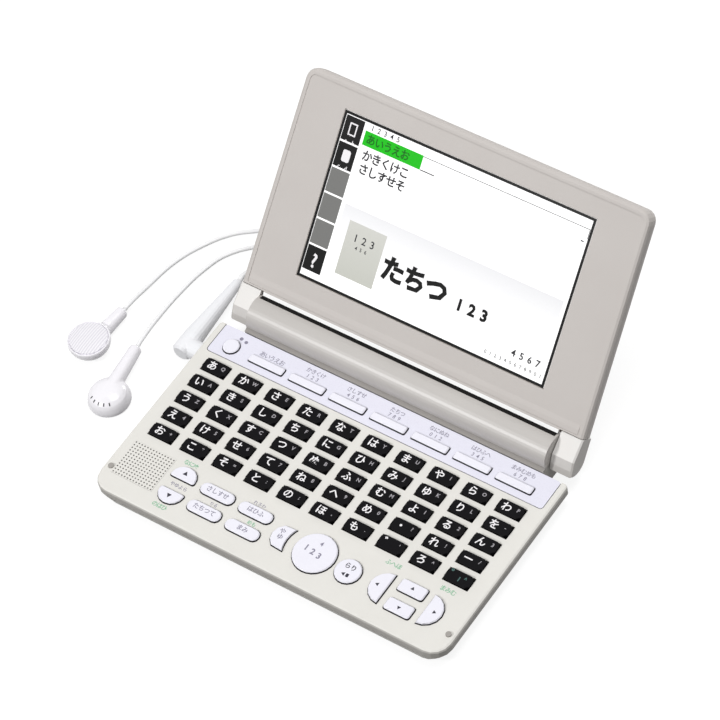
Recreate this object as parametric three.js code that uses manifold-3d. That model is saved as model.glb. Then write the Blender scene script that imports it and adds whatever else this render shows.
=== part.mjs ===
// Clamshell electronic dictionary with a plugged-in pair of earphones, in millimetres.
// X runs to the right along the hinge, Y backwards, Z up. It stands open, ready to read.
import * as THREE from 'three';
import { mergeVertices } from 'three/addons/utils/BufferGeometryUtils.js';
import Module from 'manifold-3d';

const wasm = await Module();
wasm.setup();

// Driving sizes of the case
const caseWidth = 148;
const frontReach = 87.6; // hinge axis to the front edge of the deck
const deckHeight = 9.4;
const partingHeight = 5.9;
const footHeight = 0.8;
const shellWall = 1.5;
const floorThickness = 1.2;
const cornerRadius = 7;
const rearCornerRadius = 1.5;
const sideTuck = 3.4;
const frontTuck = 1.2;
const edgeRound = 0.9;
const gap = 0.3; // clearance between neighbouring pieces
const overrun = 4; // how far a cutting tool runs past what it cuts

// Hinge
const axisHeight = 11.4;
const barrelRadius = 6.7;
const barrelWall = 1.3;
const capRadius = 5.9;
const pinRadius = 1.2;
const pinLength = 11.2;
const knuckleFront = 2.6; // how far a knuckle's crease stands out of the axis, towards the screen side
const knuckleTurn = THREE.MathUtils.degToRad(172); // where its lower front turns into the round end
const knuckleSteps = 9;
const deckRear = 8.25; // hinge axis to the rear edge of the deck
const skirtReach = 8.1; // hinge axis to the front lip of the barrel cover
const skirtLip = 0.35; // rise of that lip, which passes under the closed lid
const blockRear = 6.9;
const openAngle = THREE.MathUtils.degToRad(133.6);

// Lid
const lidInset = 1.7; // each side of the lid, inside the side of the case
const lidWidth = caseWidth - 2 * lidInset;
const capWidth = 8.7;
const barrelWidth = lidWidth - 2 * (capWidth + gap);
const lidTopNarrowing = 1.3;
const lidReach = 91; // hinge axis to the free edge
const lidLowerEdge = 7;
const knuckleReach = 8.3; // how far the lid's knuckles reach up beside its lower edge
const knuckleSlot = 1; // open slot between a knuckle and the lid's lower lip
const lidFront = 0.6; // screen side of the lid, in front of the hinge axis
const lidBack = 7;
const bezelThickness = 2.4;
const lidWall = 1.4;
const lidCorner = 4.6;
const rimWidth = 2.2;
const rimHeight = 0.25;
const lidEdgeRound = 1.2;
const windowSideMargin = 20.3; // side of the lid to the window
const windowTopMargin = 9.6; // free edge of the lid to the window
const windowBottom = 19.2; // hinge axis to the lower edge of the window
const windowThickness = 1;
const windowLedge = 1.6;
const panelThickness = 2.6;

// Keys, placed and sized across the deck as shares of the case's width
const keyRise = 0.9; // key top above the deck
const keyTravel = 0.8;
const keyClearance = 0.3;
const flangeThickness = 0.8;
const flangeMargin = 0.5;
const keyRound = 0.35;
const kanaColumns = 10;
const kanaRows = 5;
const kanaPitchX = caseWidth * 0.09378;
const kanaPitchY = 7.95;
const kanaKeyWidth = kanaPitchX - 3.98;
const kanaKeyDepth = 5.1;
const kanaKeyCorner = 1.1;
const kanaMiddleX = -0.45;
const kanaRearRow = 26.25; // hinge axis to the centre of the rear row
const functionKeys = 7;
const functionPitch = caseWidth * 0.11811;
const functionWidth = functionPitch - 2.88;
const functionDepth = 3;
const functionFirst = caseWidth * -0.32162;
const functionRow = 16.4;
const powerKeyX = 10.4 - caseWidth / 2;
const powerKeyY = 15.8;
const powerKeyRadius = 3.1;
const powerFlangeDepth = 5;
const pageKeyX = caseWidth * -0.30676;
const pageKeyWidth = caseWidth * 0.06757;
const pageKeyDepth = 5.5;
const pageUpY = 68.4;
const pageDownY = 78.9;
const ovalWidth = caseWidth * 0.09392;
const ovalDepth = 4.7;
const ovalLeftX = caseWidth * -0.20845;
const ovalRightX = caseWidth * -0.09831;
const ovalRearY = 69.7;
const ovalFrontY = 77.75;
const enterX = caseWidth * 0.08851;
const enterY = 73.5;
const enterRadius = caseWidth * 0.05405;
const leafGap = caseWidth * 0.02432;
const leafWidth = caseWidth * 0.04189;
const leafSpread = 24; // degrees either side of the middle
const voiceX = caseWidth * 0.18446;
const voiceY = 73.95;
const voiceRadius = caseWidth * 0.03311;
const arrowX = caseWidth * 0.34358;
const arrowY = 73.55;
const arrowEndRadius = 6.3;
const arrowEndReach = caseWidth * 0.09764; // middle of the pad to the flat side's far edge
const arrowEndWidth = caseWidth * 0.04324;
const arrowMiddleWidth = caseWidth * 0.07027;
const arrowMiddleDepth = 5;
const arrowMiddleOffset = 4.15;
const arrowCorner = 0.9;

// Deck furniture
const stripHalfWidth = caseWidth / 2 - 3;
const stripFront = 20.8;
const stripThickness = 0.8;
const stripCorner = 1.2;
const speakerX = 12.8 - caseWidth / 2;
const speakerY = 72.9;
const grilleColumns = 9;
const grilleRows = 8;
const grillePitch = 1.95;
const grilleHole = 0.8;
const bumperX = caseWidth / 2 - 2.8;
const bumperY = 78.1;
const bumperRadius = 0.9;
const bumperRise = 0.5;

// Inside the base
const deckThickness = 1.6;
const matThickness = 1;
const boardThickness = 1.1;
const innerMargin = 1;
const speakerRadius = 7.4;
const speakerThickness = 2.2;
const speakerCollar = 0.8;
const batteryRadius = 5.25;
const batteryLength = 44.5;
const batteryNubRadius = 2.7;
const batteryNub = 0.9;
const batterySpacing = 1.2;
const doorThickness = 1.1;
const doorMargin = 0.8;
const footRadius = 3.4;
const footInsetX = 13;
const footInsetY = 9;

// Earphone jack and plug
const jackY = 20.7;
const jackZ = 4.5;
const jackLength = 4;
const jackSize = 4.4;
const jackHoleRadius = 2.6;
const plugPinRadius = 1.75;
const plugPinLength = 14;
const plugX = caseWidth / 2 + 7.2; // middle of the plug's body, left of the middle of the case
const plugBodyRadius = 3.8;
const plugBodyLength = 18;
const plugFrontOverhang = 3.8;
const reliefLength = 18;
const reliefTip = 1.8;
const plugCollarRadius = 3.7;

// Earphone cord
const leadDiameter = 2;
const branchDiameter = 1.6;
const coilRadius = 11; // outer turn, to the middle of the cord
const coilPitch = 2.45;
const coilLayers = 4;
const turnsPerLayer = 2;
const coilX = 5;
const coilY = 35.9;
const stepsPerTurn = 24;
const tubeSides = 8;
const leadSteps = 18;
const branchSteps = 31;
const coilSides = 6;
const coilTailFlat = 9;
const coilTailDrop = 14;
const splitterLength = 11;
const splitterWidth = 6;
const splitterHeight = 3.4;
const splitterCorner = 1.5;

// Earbuds
const budRadius = 8;
const budDepth = 7;
const budRim = 0.7;
const budRecess = 0.9;
const grilleDome = 0.6;
const rearStemReach = 18; // middle of the disc to the end of the stem
const frontStemReach = 21.5;
const budStemRadius = 3;
const budStemTip = 2.3;
const budStemSides = 10;
const budSides = 20;

// Shape helpers
const turn = 2 * Math.PI;
const quarter = Math.PI / 2;
const arcSteps = 4;

function roundedRect(x0, x1, y0, y1, radii, steps = arcSteps) {
  // radii run anticlockwise from the front right corner
  const [frontRight, rearRight, rearLeft, frontLeft] = Array.isArray(radii) ? radii : Array(4).fill(radii);
  const corners = [
    [x1 - frontRight, y0 + frontRight, frontRight, -quarter],
    [x1 - rearRight, y1 - rearRight, rearRight, 0],
    [x0 + rearLeft, y1 - rearLeft, rearLeft, quarter],
    [x0 + frontLeft, y0 + frontLeft, frontLeft, 2 * quarter],
  ];
  const points = [];
  for (const [cx, cy, radius, start] of corners) {
    for (let i = 0; i <= steps; i++) {
      const angle = start + (quarter * i) / steps;
      points.push(new THREE.Vector2(cx + radius * Math.cos(angle), cy + radius * Math.sin(angle)));
    }
  }
  return points;
}

function circlePoints(cx, cy, radius, sides) {
  const points = [];
  for (let i = 0; i < sides; i++) {
    const angle = (turn * i) / sides;
    points.push(new THREE.Vector2(cx + radius * Math.cos(angle), cy + radius * Math.sin(angle)));
  }
  return points;
}

// A closed body through outlines of the same number of points at rising heights
function loft(levels) {
  const count = levels[0].points.length;
  const positions = [];
  for (const level of levels) {
    for (const point of level.points) positions.push(point.x, point.y, level.z);
  }
  const faces = THREE.ShapeUtils.triangulateShape(levels[0].points, []);
  const top = (levels.length - 1) * count;
  const index = [];
  for (const [a, b, c] of faces) {
    index.push(c, b, a);
    index.push(top + a, top + b, top + c);
  }
  for (let level = 0; level < levels.length - 1; level++) {
    for (let i = 0; i < count; i++) {
      const a = level * count + i;
      const b = level * count + ((i + 1) % count);
      index.push(a, b, b + count, a, b + count, a + count);
    }
  }
  const geometry = new THREE.BufferGeometry();
  geometry.setAttribute('position', new THREE.Float32BufferAttribute(positions, 3));
  geometry.setIndex(index);
  return geometry;
}

function prism(points, z0, z1) {
  return loft([{ z: z0, points }, { z: z1, points }]);
}

function box(x0, x1, y0, y1, z0, z1) {
  return new THREE.BoxGeometry(x1 - x0, y1 - y0, z1 - z0)
    .translate((x0 + x1) / 2, (y0 + y1) / 2, (z0 + z1) / 2);
}

// A round bar along X
function barX(x0, x1, y, z, radius, sides = 32) {
  return new THREE.CylinderGeometry(radius, radius, x1 - x0, sides)
    .rotateZ(quarter)
    .translate((x0 + x1) / 2, y, z);
}

function solid(geometry) {
  const bare = new THREE.BufferGeometry();
  bare.setAttribute('position', geometry.getAttribute('position').clone());
  if (geometry.index) bare.setIndex(geometry.index.clone());
  const merged = mergeVertices(bare, gap / 1000);
  return new wasm.Manifold(new wasm.Mesh({
    numProp: 3,
    vertProperties: merged.getAttribute('position').array,
    triVerts: new Uint32Array(merged.index.array),
  }));
}

function surface(manifold) {
  const mesh = manifold.getMesh();
  const geometry = new THREE.BufferGeometry();
  geometry.setAttribute('position', new THREE.BufferAttribute(mesh.vertProperties, 3));
  geometry.setIndex(new THREE.BufferAttribute(mesh.triVerts, 1));
  return geometry;
}

function join(first, ...others) {
  return others.reduce((sum, other) => sum.add(solid(other)), solid(first));
}

function cut(body, tools) {
  return tools.reduce((rest, tool) => rest.subtract(solid(tool)), body);
}

const dictionary = new THREE.Group();
const lid = new THREE.Group();
lid.position.set(0, 0, axisHeight);
lid.rotation.x = Math.PI - openAngle;
dictionary.add(lid);
const cordPieces = new Set();

function add(name, geometry, material, parent = dictionary) {
  const shaped = geometry instanceof THREE.BufferGeometry ? geometry : surface(geometry);
  shaped.computeVertexNormals();
  const mesh = new THREE.Mesh(shaped, material());
  mesh.name = name;
  parent.add(mesh);
  return mesh;
}

// Materials, one new instance for each piece
const finish = (color, roughness, metalness = 0) => () =>
  new THREE.MeshStandardMaterial({ color, roughness, metalness });
const deckPlastic = finish('#e2dfd8', 0.5);
const casePlastic = finish('#bdb8b2', 0.42);
const lidPlastic = finish('#cbc6c1', 0.36);
const capPlastic = finish('#dedad5', 0.36);
const stripPlastic = finish('#e6e5ef', 0.4);
const whiteKey = finish('#eeedf2', 0.35);
const blackKey = finish('#17161a', 0.4);
const rubber = finish('#6f6e6b', 0.85);
const circuitBoard = finish('#2f6b46', 0.6);
const siliconeMat = finish('#8f9296', 0.8);
const cellWrap = finish('#3f4b5c', 0.4);
const darkPart = finish('#202124', 0.55);
const steel = finish('#a9abae', 0.3, 1);
const brass = finish('#cdb37a', 0.28, 1);
const screen = finish('#f2f3ef', 0.3);
const clearCover = () => new THREE.MeshStandardMaterial({
  color: '#e9eef0', roughness: 0.08, transparent: true, opacity: 0.35,
});
const whitePlastic = finish('#f1f1f0', 0.35);
const whiteCord = finish('#ececea', 0.5);
const meshMetal = finish('#b9babb', 0.45, 0.6);

// Base shells
const halfCase = caseWidth / 2;
const front = -frontReach;
const caseRadii = [cornerRadius, rearCornerRadius, rearCornerRadius, cornerRadius];

function caseOutline(sideInset, frontInset, rearInset) {
  const radii = caseRadii.map((radius) => Math.max(radius - Math.min(sideInset, frontInset), edgeRound / 2));
  return roundedRect(
    -halfCase + sideInset, halfCase - sideInset, front + frontInset, -deckRear - rearInset, radii,
  );
}

const deckUnderside = deckHeight - deckThickness;
const keyTop = deckHeight + keyRise;
const flangeTop = deckUnderside - gap;
const flangeBottom = flangeTop - flangeThickness;
const matTop = flangeBottom - keyTravel - gap;
const boardTop = matTop - matThickness - gap;
const boardBottom = boardTop - boardThickness;
const floorTop = footHeight + floorThickness;
const halfBarrel = barrelWidth / 2;
const blockTop = deckHeight;
const coverBottom = deckHeight + gap;

// Key outlines, each with its place on the deck
function capsule(x, y, width, depth) {
  return roundedRect(
    x - width / 2, x + width / 2, y - depth / 2, y + depth / 2, depth / 2 - edgeRound / 8, 3,
  );
}

function halfRound(x, y, width, depth, roundRear) {
  const soft = arrowCorner;
  const full = Math.min(depth - soft, width / 2 - soft / 3);
  const radii = roundRear ? [soft, full, full, soft] : [full, soft, soft, full];
  return roundedRect(x - width / 2, x + width / 2, y - depth / 2, y + depth / 2, radii, 4);
}

function arrowEnd(side) {
  const inner = arrowX + side * (arrowEndReach - arrowEndWidth);
  const points = [];
  const steps = 8;
  for (let i = 0; i <= steps; i++) {
    const angle = -quarter + (2 * quarter * i) / steps;
    const reach = arrowEndWidth * Math.cos(angle);
    points.push(new THREE.Vector2(inner + side * reach, -arrowY + arrowEndRadius * Math.sin(angle)));
  }
  return side > 0 ? points : points.reverse();
}

function leaf() {
  const spread = THREE.MathUtils.degToRad(leafSpread);
  const inner = enterRadius + leafGap;
  const steps = 6;
  const points = [];
  for (let i = 0; i <= steps; i++) {
    const angle = Math.PI + spread - (2 * spread * i) / steps;
    points.push(new THREE.Vector2(enterX + inner * Math.cos(angle), -enterY + inner * Math.sin(angle)));
  }
  for (let i = 1; i < steps; i++) {
    const angle = Math.PI - spread + (2 * spread * i) / steps;
    const bulge = leafWidth * Math.sin((Math.PI * i) / steps) ** 0.5;
    const reach = inner + bulge;
    points.push(new THREE.Vector2(enterX + reach * Math.cos(angle), -enterY + reach * Math.sin(angle)));
  }
  return points;
}

function centre(points) {
  const box2 = new THREE.Box2().setFromPoints(points);
  return box2.getCenter(new THREE.Vector2());
}

// The outline grown or shrunk about its middle by a fixed margin
function grown(points, margin) {
  const middle = centre(points);
  const size = new THREE.Box2().setFromPoints(points).getSize(new THREE.Vector2());
  const factor = new THREE.Vector2((size.x + 2 * margin) / size.x, (size.y + 2 * margin) / size.y);
  return points.map((point) => point.clone().sub(middle).multiply(factor).add(middle));
}

const singleKeys = [
  ['power_key', circlePoints(powerKeyX, -powerKeyY, powerKeyRadius, 16), whiteKey],
];
for (let i = 0; i < functionKeys; i++) {
  const x = functionFirst + i * functionPitch;
  const points = roundedRect(
    x - functionWidth / 2, x + functionWidth / 2,
    -functionRow - functionDepth / 2, -functionRow + functionDepth / 2, kanaKeyCorner / 2, 2,
  );
  singleKeys.push([`function_key_${i + 1}`, points, whiteKey]);
}
singleKeys.push(
  ['page_up_key', halfRound(pageKeyX, -pageUpY, pageKeyWidth, pageKeyDepth, true), whiteKey],
  ['page_down_key', halfRound(pageKeyX, -pageDownY, pageKeyWidth, pageKeyDepth, false), whiteKey],
  ['text_size_key', capsule(ovalLeftX, -ovalRearY, ovalWidth, ovalDepth), whiteKey],
  ['history_key', capsule(ovalLeftX, -ovalFrontY, ovalWidth, ovalDepth), whiteKey],
  ['shift_key', capsule(ovalRightX, -ovalRearY, ovalWidth, ovalDepth), whiteKey],
  ['clear_key', capsule(ovalRightX, -ovalFrontY, ovalWidth, ovalDepth), whiteKey],
  ['back_key', leaf(), whiteKey],
  ['enter_key', circlePoints(enterX, -enterY, enterRadius, 28), whiteKey],
  ['voice_key', circlePoints(voiceX, -voiceY, voiceRadius, 18), whiteKey],
  ['arrow_left_key', arrowEnd(-1), whiteKey],
  ['arrow_right_key', arrowEnd(1), whiteKey],
);
for (const [name, side] of [['arrow_up_key', 1], ['arrow_down_key', -1]]) {
  const y = -arrowY + side * arrowMiddleOffset;
  singleKeys.push([name, roundedRect(
    arrowX - arrowMiddleWidth / 2, arrowX + arrowMiddleWidth / 2,
    y - arrowMiddleDepth / 2, y + arrowMiddleDepth / 2, arrowCorner, 2,
  ), whiteKey]);
}

function kanaOutline(row, column) {
  const x = kanaMiddleX + (column - (kanaColumns - 1) / 2) * kanaPitchX;
  const y = -kanaRearRow - row * kanaPitchY;
  return roundedRect(
    x - kanaKeyWidth / 2, x + kanaKeyWidth / 2, y - kanaKeyDepth / 2, y + kanaKeyDepth / 2, kanaKeyCorner, 1,
  );
}

function keyBody(points) {
  return loft([
    { z: flangeBottom + flangeThickness / 2, points },
    { z: keyTop - keyRound, points },
    { z: keyTop, points: grown(points, -keyRound) },
  ]);
}

function flange(points) {
  return prism(grown(points, flangeMargin), flangeBottom, flangeTop);
}

const keyHoles = [];
for (const [name, points, material] of singleKeys) {
  keyHoles.push(prism(grown(points, keyClearance), deckUnderside - overrun, keyTop));
  let body = join(keyBody(points), flange(points));
  if (name === 'power_key') {
    const rear = -powerKeyY + powerKeyRadius + flangeMargin;
    body = cut(body, [box(
      powerKeyX - overrun * 2, powerKeyX + overrun * 2, rear - powerFlangeDepth - overrun * 2,
      rear - powerFlangeDepth, flangeBottom - overrun, flangeTop + gap,
    )]);
  }
  add(name, body, material);
}
for (let row = 0; row < kanaRows; row++) {
  const caps = [];
  for (let column = 0; column < kanaColumns; column++) {
    const points = kanaOutline(row, column);
    caps.push(prism(points, flangeBottom + flangeThickness / 2, keyTop));
    const { min, max } = new THREE.Box2().setFromPoints(points);
    keyHoles.push(box(
      min.x - keyClearance, max.x + keyClearance, min.y - keyClearance, max.y + keyClearance,
      deckUnderside - overrun, keyTop,
    ));
  }
  const first = new THREE.Box2().setFromPoints(kanaOutline(row, 0));
  const last = new THREE.Box2().setFromPoints(kanaOutline(row, kanaColumns - 1));
  const rail = box(
    first.min.x - flangeMargin, last.max.x + flangeMargin,
    first.min.y - flangeMargin, first.max.y + flangeMargin, flangeBottom, flangeTop,
  );
  add(`kana_row_${row + 1}`, join(rail, ...caps), blackKey);
}

// Deck with its walls
const upperOuter = loft([
  { z: partingHeight, points: caseOutline(0, 0, 0) },
  { z: deckHeight - edgeRound, points: caseOutline(0, 0, 0) },
  { z: deckHeight - edgeRound / 3, points: caseOutline(edgeRound / 3, edgeRound / 3, 0) },
  { z: deckHeight, points: caseOutline(edgeRound, edgeRound, 0) },
]);
const upperHollow = prism(
  caseOutline(shellWall, shellWall, shellWall), partingHeight - overrun, deckUnderside,
);
const stripBed = prism(
  roundedRect(
    -stripHalfWidth - gap, stripHalfWidth + gap, -stripFront - gap, -deckRear + overrun, stripCorner, 2,
  ),
  deckHeight - stripThickness - gap, keyTop,
);
const grilleHoles = [];
for (let column = 0; column < grilleColumns; column++) {
  for (let row = 0; row < grilleRows; row++) {
    const x = speakerX + (column - (grilleColumns - 1) / 2) * grillePitch;
    const y = -speakerY + (row - (grilleRows - 1) / 2) * grillePitch;
    const half = grilleHole / 2;
    grilleHoles.push(box(x - half, x + half, y - half, y + half, deckUnderside - gap, keyTop));
  }
}
const jackOuter = -halfCase + sideTuck + shellWall - gap / 3;
const jackHole = barX(-halfCase - overrun, jackOuter, -jackY, jackZ, jackHoleRadius, 24);
const bumpers = [-1, 1].map((side) => new THREE.CylinderGeometry(
  bumperRadius / 2, bumperRadius, bumperRise + gap, 12,
).rotateX(quarter).translate(side * bumperX, -bumperY, deckHeight + (bumperRise - gap) / 2));
const upperCase = cut(
  join(upperOuter, ...bumpers), [upperHollow, stripBed, ...keyHoles, ...grilleHoles, jackHole],
);
add('base_upper_case', upperCase, deckPlastic);

// Label strip, let into the deck round its keys
const stripTop = deckHeight;
const strip = prism(
  roundedRect(-stripHalfWidth, stripHalfWidth, -stripFront, -deckRear - gap / 3, stripCorner - gap, 2),
  stripTop - stripThickness, stripTop,
);
const stripHoles = keyHoles.slice(0, functionKeys + 1);
add('label_strip', cut(solid(strip), stripHoles), stripPlastic);

// Lower shell with the battery block under the barrel
const lowerTop = partingHeight - gap;
const lowerOuter = loft([
  { z: footHeight, points: caseOutline(sideTuck + edgeRound, frontTuck + edgeRound, 0) },
  { z: footHeight + edgeRound, points: caseOutline(sideTuck, frontTuck, 0) },
  { z: lowerTop, points: caseOutline(edgeRound / 3, 0, 0) },
]);
const lowerHollow = loft([
  { z: floorTop, points: caseOutline(sideTuck + shellWall, frontTuck + shellWall, shellWall) },
  { z: lowerTop + gap, points: caseOutline(shellWall + edgeRound / 3, shellWall, shellWall) },
]);
const blockProfile = [
  new THREE.Vector2(-deckRear - shellWall, footHeight),
  new THREE.Vector2(blockRear - edgeRound * 3, footHeight),
  new THREE.Vector2(blockRear - edgeRound, footHeight + edgeRound),
  new THREE.Vector2(blockRear, footHeight + edgeRound * 3),
  new THREE.Vector2(blockRear, blockTop),
  new THREE.Vector2(-deckRear + gap, blockTop),
  new THREE.Vector2(-deckRear + gap, lowerTop),
  new THREE.Vector2(-deckRear - shellWall, lowerTop),
];
const sweepX = (points, x0, x1) => prism(points, x0, x1).rotateX(quarter).rotateZ(quarter);
const block = sweepX(blockProfile, -halfBarrel, halfBarrel);
const batteryPair = 2 * batteryLength + batterySpacing;
const halfBay = batteryPair / 2 + 2 * gap + batterySpacing;
const bayHalfDepth = batteryRadius + gap;
const batteryZ = footHeight + doorThickness + gap + batteryRadius;
const bay = box(-halfBay, halfBay, -bayHalfDepth, bayHalfDepth, footHeight - overrun, blockTop + overrun);
const doorHalf = halfBay + doorMargin;
const doorFront = -bayHalfDepth - doorMargin;
const doorSlot = box(
  -doorHalf - gap, doorHalf + gap, doorFront - gap, blockRear + overrun,
  footHeight - overrun, footHeight + doorThickness + gap,
);
const posts = [];
const boardHalf = halfCase - sideTuck - shellWall - innerMargin;
const boardFront = front + frontTuck + shellWall + innerMargin;
const postRadius = 2.2;
for (const side of [-1, 1]) {
  for (const y of [boardFront + footInsetY, -kanaRearRow - footInsetY]) {
    posts.push(new THREE.CylinderGeometry(postRadius, postRadius, boardBottom - gap - footHeight, 12)
      .rotateX(quarter)
      .translate(side * (boardHalf - footInsetX), y, (boardBottom - gap + footHeight) / 2));
  }
}
const lowerShell = cut(solid(lowerOuter), [lowerHollow]);
const withBlock = lowerShell.add(solid(block));
const headRadius = pinRadius + 2 * gap;
const headRoom = [-1, 1].map((side) => barX(
  side * (halfBarrel - barrelWall) - barrelWall - 2 * gap,
  side * (halfBarrel - barrelWall) + barrelWall + 2 * gap,
  0, axisHeight, headRadius + gap, 20,
));
const lowerCut = cut(withBlock, [bay, doorSlot, jackHole, ...headRoom]);
const lowerCase = posts.reduce((sum, post) => sum.add(solid(post)), lowerCut);
add('base_lower_case', lowerCase, casePlastic);

// Battery door, slid out to the rear
const doorRear = blockRear - edgeRound * 3;
add('battery_cover', box(
  -doorHalf, doorHalf, doorFront, doorRear, footHeight, footHeight + doorThickness,
), casePlastic);

// Two cells end to end in the bay
for (const [name, side] of [['battery_left', -1], ['battery_right', 1]]) {
  const inner = side * (batterySpacing / 2);
  const outer = side * (batterySpacing / 2 + batteryLength);
  const [x0, x1] = side < 0 ? [outer, inner] : [inner, outer];
  const body = barX(x0, x1 - batteryNub, 0, batteryZ, batteryRadius, 24);
  const nub = barX(x1 - batteryNub - gap, x1, 0, batteryZ, batteryNubRadius, 16);
  add(name, join(body, nub), cellWrap);
}

// Board and key mat
const jackFront = -jackY - jackSize / 2 - gap;
const boardRear = -deckRear - shellWall - innerMargin;
const jackInner = -halfCase + sideTuck + shellWall + plugPinLength;
const notch = (z0, z1) => box(-halfCase, jackInner, jackFront - innerMargin, 0, z0, z1);
add('main_board', cut(
  solid(prism(
    roundedRect(-boardHalf, boardHalf, boardFront, boardRear, cornerRadius / 2, 2), boardBottom, boardTop,
  )),
  [notch(boardBottom - gap, boardTop + gap)],
), circuitBoard);
const matBottom = matTop - matThickness;
const powerPad = box(
  powerKeyX - powerKeyRadius, jackInner + gap, -jackY + jackSize / 2 + gap, boardRear, matBottom, matTop,
);
const matBody = cut(
  solid(prism(
    roundedRect(-boardHalf, boardHalf, boardFront, boardRear, cornerRadius / 2, 2), matBottom, matTop,
  )),
  [
    notch(matBottom - gap, matTop + gap),
    new THREE.CylinderGeometry(speakerRadius + gap, speakerRadius + gap, matThickness + 2 * gap, 24)
      .rotateX(quarter).translate(speakerX, -speakerY, (matTop + matBottom) / 2),
  ],
);
add('rubber_key_mat', matBody.add(solid(powerPad)), siliconeMat);

// Speaker behind its grille
const speakerTop = deckUnderside - gap;
const speakerProfile = [
  new THREE.Vector2(0, 0),
  new THREE.Vector2(speakerRadius, 0),
  new THREE.Vector2(speakerRadius, speakerThickness),
  new THREE.Vector2(speakerRadius - speakerCollar, speakerThickness),
  new THREE.Vector2(speakerRadius - 2 * speakerCollar, speakerThickness - speakerCollar),
  new THREE.Vector2(0, speakerThickness - speakerCollar),
];
add('speaker', new THREE.LatheGeometry(speakerProfile, 24).rotateX(quarter)
  .translate(speakerX, -speakerY, speakerTop - speakerThickness), darkPart);

// Earphone jack
const jackBody = cut(solid(box(
  jackOuter, jackOuter + jackLength, -jackY - jackSize / 2, -jackY + jackSize / 2,
  jackZ - jackSize / 2, jackZ + jackSize / 2,
)), [barX(jackOuter - overrun, jackOuter + jackLength + overrun, -jackY, jackZ, plugPinRadius + gap, 24)]);
add('earphone_jack', jackBody, darkPart);

// Feet
for (const [name, sideX, y] of [
  ['foot_front_left', -1, front + frontTuck + footInsetY],
  ['foot_front_right', 1, front + frontTuck + footInsetY],
  ['foot_rear_left', -1, -deckRear - footInsetY],
  ['foot_rear_right', 1, -deckRear - footInsetY],
]) {
  add(name, new THREE.CylinderGeometry(footRadius, footRadius - edgeRound / 3, footHeight - gap / 3, 20)
    .rotateX(quarter)
    .translate(sideX * (halfCase - sideTuck - footInsetX), y, (footHeight - gap / 3) / 2), rubber);
}

// Barrel cover, a half tube with closed ends and a skirt down to the label strip
const barrelSteps = 22;
const coverAngle = Math.asin((axisHeight - coverBottom) / barrelRadius);
function coverProfile(radius, skirt, bottom) {
  const points = [];
  const dip = Math.asin(Math.min((axisHeight - bottom) / radius, 1));
  const skirtAngle = Math.PI - coverAngle / 3;
  for (let i = 0; i <= barrelSteps; i++) {
    const angle = -dip + ((skirtAngle + dip) * i) / barrelSteps;
    points.push(new THREE.Vector2(radius * Math.cos(angle), axisHeight + radius * Math.sin(angle)));
  }
  points.push(...skirt);
  return points;
}
const skirtKnee = lidLowerEdge - gap;
const coverOuter = sweepX(coverProfile(barrelRadius, [
  new THREE.Vector2(-skirtKnee, coverBottom + 2 * skirtLip),
  new THREE.Vector2(-(skirtKnee + skirtReach) / 2, coverBottom + skirtLip),
  new THREE.Vector2(-skirtReach, coverBottom + skirtLip / 2),
  new THREE.Vector2(-skirtReach, coverBottom),
], coverBottom), -halfBarrel, halfBarrel);
const coverRoom = barrelRadius - barrelWall;
const coverInner = sweepX(
  coverProfile(coverRoom, [new THREE.Vector2(-coverRoom, coverBottom - gap)], coverBottom - gap),
  -halfBarrel + barrelWall, halfBarrel - barrelWall,
);
const pinBores = [-1, 1].map((side) => {
  const x = side * halfBarrel;
  return barX(x - pinLength, x + pinLength, 0, axisHeight, pinRadius + gap, 24);
});
add('hinge_barrel_cover', cut(solid(coverOuter), [coverInner, ...pinBores]), casePlastic);

// Hinge pins with a head inside the barrel
for (const [name, side] of [['hinge_pin_left', -1], ['hinge_pin_right', 1]]) {
  const head = side * (halfBarrel - barrelWall - gap);
  const inner = head - side * barrelWall;
  const tip = side * (halfBarrel - barrelWall + pinLength - 2 * barrelWall);
  const rod = barX(Math.min(inner, tip), Math.max(inner, tip), 0, axisHeight, pinRadius, 20);
  const disc = barX(Math.min(inner, head), Math.max(inner, head), 0, axisHeight, headRadius, 20);
  add(name, join(rod, disc), steel);
}

// Lid, in its own frame: Y from the hinge to the free edge, Z out of the screen side
const halfLid = lidWidth / 2;
function lidOutline(inset, lowerInset = inset) {
  const upperCorner = Math.max(lidCorner - inset, gap);
  const radii = [edgeRound, upperCorner, upperCorner, edgeRound];
  const points = roundedRect(
    -halfLid + inset, halfLid - inset, lidLowerEdge + lowerInset, lidReach - inset, radii, 5,
  );
  return points.map((point) => {
    const share = (point.y - lidLowerEdge) / (lidReach - lidLowerEdge);
    return new THREE.Vector2(point.x * (1 - (share * lidTopNarrowing) / halfLid), point.y);
  });
}
const bezelBack = lidFront - bezelThickness;
const bezelOuter = loft([
  { z: bezelBack, points: lidOutline(0) },
  { z: lidFront + rimHeight - lidEdgeRound, points: lidOutline(0) },
  { z: lidFront + rimHeight - lidEdgeRound / 3, points: lidOutline(lidEdgeRound / 3, lidEdgeRound / 3) },
  { z: lidFront + rimHeight, points: lidOutline(lidEdgeRound, lidEdgeRound) },
]);
const panelSink = prism(lidOutline(rimWidth, rimWidth), lidFront, lidFront + overrun);
const halfWindow = halfLid - windowSideMargin;
const windowTop = lidReach - windowTopMargin;
const windowBed = box(
  -halfWindow - gap, halfWindow + gap, windowBottom - gap, windowTop + gap,
  lidFront - windowThickness - gap, lidFront + overrun,
);
const viewHole = box(
  -halfWindow + windowLedge, halfWindow - windowLedge, windowBottom + windowLedge, windowTop - windowLedge,
  bezelBack - overrun, lidFront + overrun,
);
const knuckleRoom = [-1, 1].map((side) => {
  const inner = side * (halfBarrel + gap - knuckleSlot);
  const outer = side * (halfLid + overrun);
  return box(
    Math.min(inner, outer), Math.max(inner, outer), -overrun, knuckleReach + gap,
    -lidBack - overrun, lidFront + overrun,
  );
});
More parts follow.
